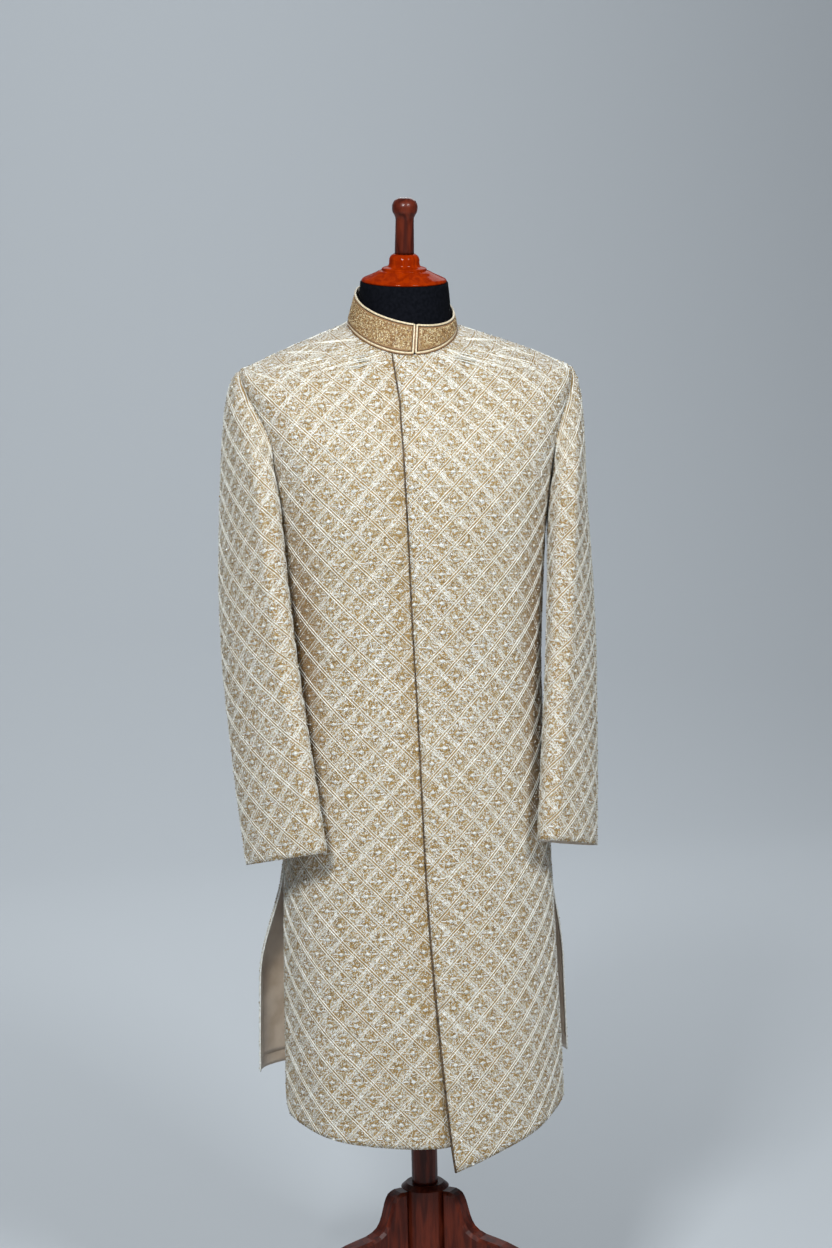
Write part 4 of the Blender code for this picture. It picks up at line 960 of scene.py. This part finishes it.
def collar_point(turn, up, above=0.0):
    turn = np.asarray(turn, float)
    bottom = neck_height(turn) + over_slope(neck_height, turn, 2 * (PIPING_GAP + PIPING_RADIUS))
    sizes = [level(name, NECK) + COLLAR_STAND_OUT - COLLAR_LEAN_IN * up for name in ("half_width", "front", "back")]
    x, y = rounded_section(turn, *sizes)
    return np.stack([x + NECK_X * (1 - up), y, bottom + (collar_top_height(turn) - bottom) * up + above], -1)


end_gap = 2 * (PIPING_GAP + PIPING_RADIUS)
collar_turn = np.linspace((COLLAR_MIDDLE_X + end_gap) / NECK_RADIUS,
                          2 * math.pi + (COLLAR_MIDDLE_X - end_gap) / NECK_RADIUS, COLLAR_STEPS)
collar_points = np.array([collar_point(collar_turn, f) for f in np.linspace(0, 1, COLLAR_ROWS)])
COLLAR_TALL = float(steps_along(collar_points, 0)[-1].mean())
COLLAR_LONG = float(steps_along(collar_points, 1)[:, -1].mean())
collar_flat = np.meshgrid(np.linspace(0, COLLAR_LONG, COLLAR_STEPS), np.linspace(0, COLLAR_TALL, COLLAR_ROWS))
collar_panel = Panel("collar_cloth", collar_points, grid_normals(collar_points), *collar_flat)

beadwork = Finish("collar_beadwork", (0.45, 0.28, 0.14), 0.55)
collar_uv = beadwork.add("ShaderNodeUVMap", {"uv_map": "UVMap"}, {})
collar_bead = beadwork.cells(collar_uv, COLLAR_SEEDS, "Distance", 0.75, flat=True)
collar_chance = beadwork.cells(collar_uv, COLLAR_SEEDS, "Color", 0.75, flat=True)
collar_first, collar_second = beadwork.channel(collar_chance, 0), beadwork.channel(collar_chance, 1)
bead_colour = beadwork.mix(collar_first.rise(0.35, 0.45), (0.24, 0.12, 0.035), (0.42, 0.28, 0.12))
bead_colour = beadwork.mix(collar_second.rise(0.70, 0.75), bead_colour, (0.66, 0.54, 0.33))
bead_colour = beadwork.mix(collar_bead.rise(0.38, 0.62) * 0.8, bead_colour, (0.15, 0.07, 0.03))
collar_u, collar_v = beadwork.axis(collar_uv, 0), beadwork.axis(collar_uv, 1)
inside_border = collar_v.rise(0.0016, 0.0022) * (COLLAR_TALL - collar_v).rise(0.0016, 0.0022)
inside_border *= collar_u.rise(0.0012, 0.0018) * (COLLAR_LONG - collar_u).rise(0.0012, 0.0018)
paint(beadwork, beadwork.mix(inside_border, (0.28, 0.15, 0.062), bead_colour))
beadwork.bump(1 - collar_bead.rise(0.05, 0.6), 0.0008, 0.9)

collar_cloth = collar_panel.make(beadwork, lining, COLLAR_WALL)
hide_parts("collar")

copper_bead = bead_finish("copper_bead", (0.42, 0.22, 0.10), 0.22, 420.0, (0.16, 0.070, 0.018), (0.46, 0.29, 0.115),
                          (0.72, 0.58, 0.34), metallic=0.3, coat_weight=0.4)
bead_v, bead_u = np.meshgrid(np.arange(0.0032, COLLAR_TALL - 0.0026, COLLAR_BEAD_STEP),
                             np.arange(0.0030, COLLAR_LONG - 0.0026, COLLAR_BEAD_STEP), indexing="ij")
bead_u = bead_u.ravel() + chance.normal(0, 0.0003, bead_u.size)
bead_v = bead_v.ravel() + chance.normal(0, 0.0003, bead_v.size)
collar_beads = sewn_on("collar_beads", collar_panel, BEAD_SHAPE, bead_u, bead_v,
                       np.array([0.0011, 0.0011, 0.0010]) * chance.uniform(0.8, 1.2, (len(bead_u), 1)),
                       chance.uniform(0, math.pi / 2, len(bead_u)), copper_bead)

# Piping, a cord covered with cream and gold cloth, is sewn all round the collar's edge. A thin brown cord lies under
# its lower run, and another one where the collar's two ends meet.
PIPING_ENDS, END_SHRINK, THIN_SIDES = 12, 0.8, 6
UNDER_OFF, UNDER_OUT, UNDER_RADIUS, MEETING_SUNK, MEETING_RADIUS = 0.0004, 0.0001, 0.0009, 0.0016, 0.0010
piping_cloth = mottled("piping_cord", (0.74, 0.63, 0.46), 0.42, 600.0, (0.52, 0.38, 0.21), (0.78, 0.68, 0.48),
                       (0.3, 0.7), True, sheen_weight=0.3)
brown_cord = mottled("brown_cord", (0.20, 0.095, 0.035), 0.5, 500.0, (0.14, 0.06, 0.02), (0.27, 0.14, 0.055),
                     (0.3, 0.7))


def tube(name, path, out, radius, finish, sides=10, closed=True):
    """A round cord along a path; out is the direction that each of its points faces."""
    ahead = np.roll(path, -1, axis=0) - np.roll(path, 1, axis=0) if closed else np.gradient(path, axis=0)
    across = np.cross(ahead, out)
    across /= np.linalg.norm(across, axis=1, keepdims=True)
    angles = 2 * math.pi * np.arange(sides) / sides
    radius = np.broadcast_to(radius, len(path))[:, None]
    rings = np.stack([path + radius * (math.cos(a) * out + math.sin(a) * across) for a in angles], 1)
    count = len(path)
    faces = []
    for i in range(count if closed else count - 1):
        low, high = i * sides, (i + 1) % count * sides
        faces += [[low + k, low + (k + 1) % sides, high + (k + 1) % sides, high + k] for k in range(sides)]
    if not closed:
        faces += [list(range(sides))[::-1], [(count - 1) * sides + k for k in range(sides)]]
    piece = new_piece(name, rings.reshape(-1, 3) + np.array(AXIS), faces, finish)
    bpy.ops.object.select_all(action="DESELECT")
    bpy.context.view_layer.objects.active = piece
    piece.select_set(True)
    bpy.ops.object.mode_set(mode="EDIT")
    bpy.ops.mesh.select_all(action="SELECT")
    bpy.ops.mesh.normals_make_consistent(inside=False)
    bpy.ops.object.mode_set(mode="OBJECT")
    return piece


def collar_edge(off):
    """A closed path round the collar's edge, at a distance from it."""
    shift = off / NECK_RADIUS
    turn = np.concatenate([[collar_turn[0] - shift], collar_turn, [collar_turn[-1] + shift]])
    bottom = collar_point(turn, 0.0, -over_slope(neck_height, turn, off))
    top = collar_point(turn, 1.0, over_slope(collar_top_height, turn, off))
    sides = [np.array([collar_point(t, f) for f in np.linspace(0.06, 0.94, PIPING_ENDS)]) for t in (turn[-1], turn[0])]
    path = np.concatenate([bottom, sides[0], top[::-1], sides[1][::-1]])
    out = (path - (NECK_X / 2, 0, 0)) * (1, 1, 0)
    return path, out / np.linalg.norm(out, axis=1, keepdims=True)


edge_path, edge_out = collar_edge(PIPING_GAP + PIPING_RADIUS)
piping_size = np.full(len(edge_path), PIPING_RADIUS)
for last in (len(edge_path) // 2, len(edge_path)):  # the runs up and down the collar's ends are thinner
    piping_size[last - PIPING_ENDS : last] = END_SHRINK * PIPING_RADIUS
piping = tube("collar_piping_cord", edge_path - edge_out * COLLAR_WALL / 2, edge_out, piping_size, piping_cloth)
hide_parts("collar_piping")
under_turn = np.linspace(collar_turn[0] - 0.03, collar_turn[-1] + 0.03, COLLAR_STEPS)
under_off = 2 * PIPING_RADIUS + PIPING_GAP + UNDER_OFF
under_path = collar_point(under_turn, 0.0, -over_slope(neck_height, under_turn, under_off))
under_out = (under_path - (NECK_X, 0, 0)) * (1, 1, 0)
under_out /= np.linalg.norm(under_out, axis=1, keepdims=True)
under_cord = tube("collar_brown_cord", under_path + under_out * UNDER_OUT, under_out, UNDER_RADIUS, brown_cord,
                  THIN_SIDES, False)
meeting = collar_point(np.full(9, COLLAR_MIDDLE_X / NECK_RADIUS), np.linspace(-0.04, 1.0, 9))
meeting_out = np.tile((0.0, -1.0, 0.0), (9, 1))
meeting_cord = tube("collar_meeting_cord", meeting + (0, MEETING_SUNK, 0), meeting_out, MEETING_RADIUS, brown_cord,
                    THIN_SIDES, False)

# A dark umber cord under the over-front's free edge is a painted shadow: it stands for the shade that the edge casts on
# the under-front, as a dark line that grows broader towards the hem.
free_edge, edge_normal = left_front.outer[:, 0], left_front.normal[:, 0]
edge_side = np.cross(np.gradient(free_edge, axis=0), edge_normal)
edge_side /= np.linalg.norm(edge_side, axis=1, keepdims=True)
inward = np.sign(((left_front.outer[:, 1] - free_edge) * edge_side).sum(1, keepdims=True))
umber_cord = mottled("umber_cord", UMBER, 0.7, 300.0, (0.020, 0.012, 0.005), (0.13, 0.075, 0.030))
shadow_line_size = 0.0013 + 0.0006 * ease((1.0 - free_edge[:, 2]) / 0.5)
shadow_line_path = free_edge - edge_normal * 0.0016 - edge_side * inward * 0.0009
edge_shadow_cord = tube("front_edge_cord", shadow_line_path, edge_normal, shadow_line_size, umber_cord, THIN_SIDES, False)
trims["left_front_cloth"].append(edge_shadow_cord)

# A thin ivory cord, the same as the embroidery's, is sewn along each edge of the back's skirt, and shows in the
# side slits.
for word, column in (("right", 0), ("left", -1)):
    low_rows = int(np.searchsorted(back_points[:, 0, 2], SLIT_TOP))
    slit_edge, slit_normal = back_panel.outer[:low_rows, column], back_panel.normal[:low_rows, column]
    slit_cord = tube(word + "_slit_cord", slit_edge - slit_normal * 0.0010, slit_normal, 0.0011, ivory_cord,
                     THIN_SIDES, False)
    trims["back_cloth"].append(slit_cord)

# The form is a padded body under a tight black knitted cover, with a narrow neck that shows above the collar. It
# fills the coat down to the waist, a little clear of the cloth.
TORSO_BOTTOM = 0.800
TORSO_CLEAR = ((3, 0.024), (5, 0.014), (8, 0.012), (11, 0.012), (12, 0.010), (15, 0.0095))
NECK_RINGS = ((1.492, 0.0612), (1.508, 0.0608), (1.523, 0.0598))
CAP_Z, CAP_TILT, NECK_TOP_RADIUS, TILT_FROM_Z = 1.534, math.radians(11), 0.0586, 1.476
SEAM_CLEAR, SEAM_HALF = 0.0024, math.radians(10)
jersey = Finish("black_jersey", (0.004, 0.005, 0.008), 0.9)
jersey.shader.inputs["Specular IOR Level"].default_value = 0.06
jersey_at = jersey.here()
knit = jersey.add("ShaderNodeTexWave", {"bands_direction": "Z"},
                  {"Vector": jersey_at, "Scale": 260.0, "Distortion": 2.0})
fluff = jersey.noise(jersey_at, 240.0, 3.0)
paint(jersey, jersey.mix(fluff.rise(0.3, 0.7), (0.0015, 0.0020, 0.0035), (0.0040, 0.0045, 0.0070)))
jersey.bump(knit * 0.4 + fluff * 0.6, 0.0004, 0.6)


def tilted(points, height, tilt):
    x, y, z = points[..., 0], points[..., 1], points[..., 2]
    return np.stack([x, y * math.cos(tilt) - z * math.sin(tilt), y * math.sin(tilt) + z * math.cos(tilt) + height], -1)


def stacked(count, size):
    """The faces of a closed body made of level rings, from the lowest one up."""
    faces = [list(range(size))[::-1], [(count - 1) * size + i for i in range(size)]]
    for ring in range(count - 1):
        for i in range(size):
            a, b = ring * size + i, ring * size + (i + 1) % size
            faces.append([a, b, b + size, a + size])
    return faces


turn = np.radians(np.arange(0, 360, 4))
clear_at, clear = LEVEL_AT[[row[0] for row in TORSO_CLEAR]], np.array([row[1] for row in TORSO_CLEAR])
torso_rows = np.concatenate([
    along_at(np.linspace(TORSO_BOTTOM, 1.27, 40)),
    ARMPIT + (SHOULDER - ARMPIT) * np.linspace(0.0, 0.88, 14),
    SHOULDER + (NECK - SHOULDER) * np.linspace(0.10, 1.0, 16),
])
rings = []
for along in torso_rows:
    free = np.full(len(turn), float(smooth_curve(clear_at, clear, np.array(along))))
    if along > SHOULDER:
        from_seam = np.abs(np.abs((turn + math.pi) % (2 * math.pi) - math.pi) - math.pi / 2)
        nearby = SEAM_CLEAR + 0.0022 * ease(from_seam / SEAM_HALF)
        free = nearby + (free - nearby) * ease((from_seam - SEAM_HALF) / math.radians(40))
        fade = ease((along - SHOULDER - 0.75 * (NECK - SHOULDER)) / (0.25 * (NECK - SHOULDER)))
        free = free + (clear[-1] - free) * fade
    rings.append(body_surface(turn, along) - body_normal(turn, along) * free[:, None])
rings[0][:, 2] = TORSO_BOTTOM
neck_z = np.array([z for z, _ in NECK_RINGS] + [CAP_Z])
neck_r = np.array([r for _, r in NECK_RINGS] + [NECK_TOP_RADIUS])
for height in np.linspace(neck_z[0], CAP_Z, 8):
    radius = smooth_curve(neck_z, neck_r, np.array(height))
    ring = np.stack([radius * np.sin(turn), -radius * np.cos(turn), np.zeros(len(turn))], -1)
    rings.append(tilted(ring, height, CAP_TILT * (height - TILT_FROM_Z) / (CAP_Z - TILT_FROM_Z)))
torso = new_piece("torso_padding", np.concatenate(rings) + np.array(AXIS), stacked(len(rings), len(turn)), jersey)
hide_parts("form_torso")

# The neck cap is turned from one block of wood, lacquered a glossy orange-red and pegged into the neck. The finial
# above it is turned as well and varnished dark red-brown. Each pair is a radius and a height.
LATHE_STEPS = 64
CAP_PROFILE = ((0.0562, 0.0000), (0.0570, 0.0015), (0.0560, 0.0035), (0.0500, 0.0065), (0.0410, 0.0105),
               (0.0330, 0.0145), (0.0300, 0.0155), (0.0300, 0.0175), (0.0270, 0.0190), (0.0222, 0.0205),
               (0.0204, 0.0240), (0.0202, 0.0290), (0.0186, 0.0335), (0.0150, 0.0365))
FINIAL_PROFILE = ((0.0130, 0.0000), (0.0126, 0.0200), (0.0122, 0.0450), (0.0135, 0.0500), (0.0165, 0.0560),
                  (0.0170, 0.0620), (0.0145, 0.0690), (0.0080, 0.0735))


def wood(name, dark, light, roughness, coat):
    """Varnished wood with a fine grain that runs up the piece."""
    finish = Finish(name, light, roughness, coat_weight=coat, coat_roughness=0.06)
    at = finish.here()
    stretched = finish.add("ShaderNodeMapping", {}, {"Vector": at, "Scale": (1.0, 1.0, 0.12)})
    grain = finish.noise(stretched, 120.0, 5.0, 0.6)
    cloud = finish.noise(at, 14.0)
    paint(finish, finish.mix(grain.rise(0.35, 0.68) * (0.5 + 0.5 * cloud), dark, light))
    finish.bump(grain, 0.0004, 0.25)
    return finish


lacquer = wood("lacquered_wood", (0.20, 0.013, 0.0003), (0.33, 0.028, 0.0006), 0.24, 0.14)
lacquer.shader.inputs["Specular IOR Level"].default_value = 0.0
dark_wood = wood("dark_wood", (0.040, 0.006, 0.003), (0.125, 0.020, 0.008), 0.34, 0.08)
dark_wood.shader.inputs["IOR"].default_value = 1.25


def lathe(name, profile, lift, finish):
    """Turns a profile round the tilted axis of the neck, as on a lathe."""
    corners = np.array(profile)
    fine = np.linspace(0, len(corners) - 1, (len(corners) - 1) * 4 + 1)
    radius = smooth_curve(np.arange(len(corners), dtype=float), corners[:, 0], fine)
    rise = smooth_curve(np.arange(len(corners), dtype=float), corners[:, 1], fine)
    angle = np.arange(LATHE_STEPS) * 2 * math.pi / LATHE_STEPS
    rings = np.stack([radius[:, None] * np.cos(angle), radius[:, None] * np.sin(angle),
                      np.repeat((rise + lift)[:, None], LATHE_STEPS, axis=1)], -1)
    points = tilted(rings, CAP_Z, CAP_TILT).reshape(-1, 3) + np.array(AXIS)
    return new_piece(name, points, stacked(len(fine), LATHE_STEPS), finish)


cap = lathe("turned_cap", CAP_PROFILE, 0.0003, lacquer)
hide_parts("neck_cap")
finial = lathe("turned_finial", FINIAL_PROFILE, CAP_PROFILE[-1][1] + 0.0006, dark_wood)
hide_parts("finial")

# The stand is a turned pole glued into a turned hub, and three curved legs sawn from planks and tenoned into the hub.
# All are wood with a dark red-brown varnish, and keep the CAD's own shapes.
for name in ("pole", "hub", "leg_1", "leg_2", "leg_3"):
    nodes[name].material_slots[0].material = dark_wood.material
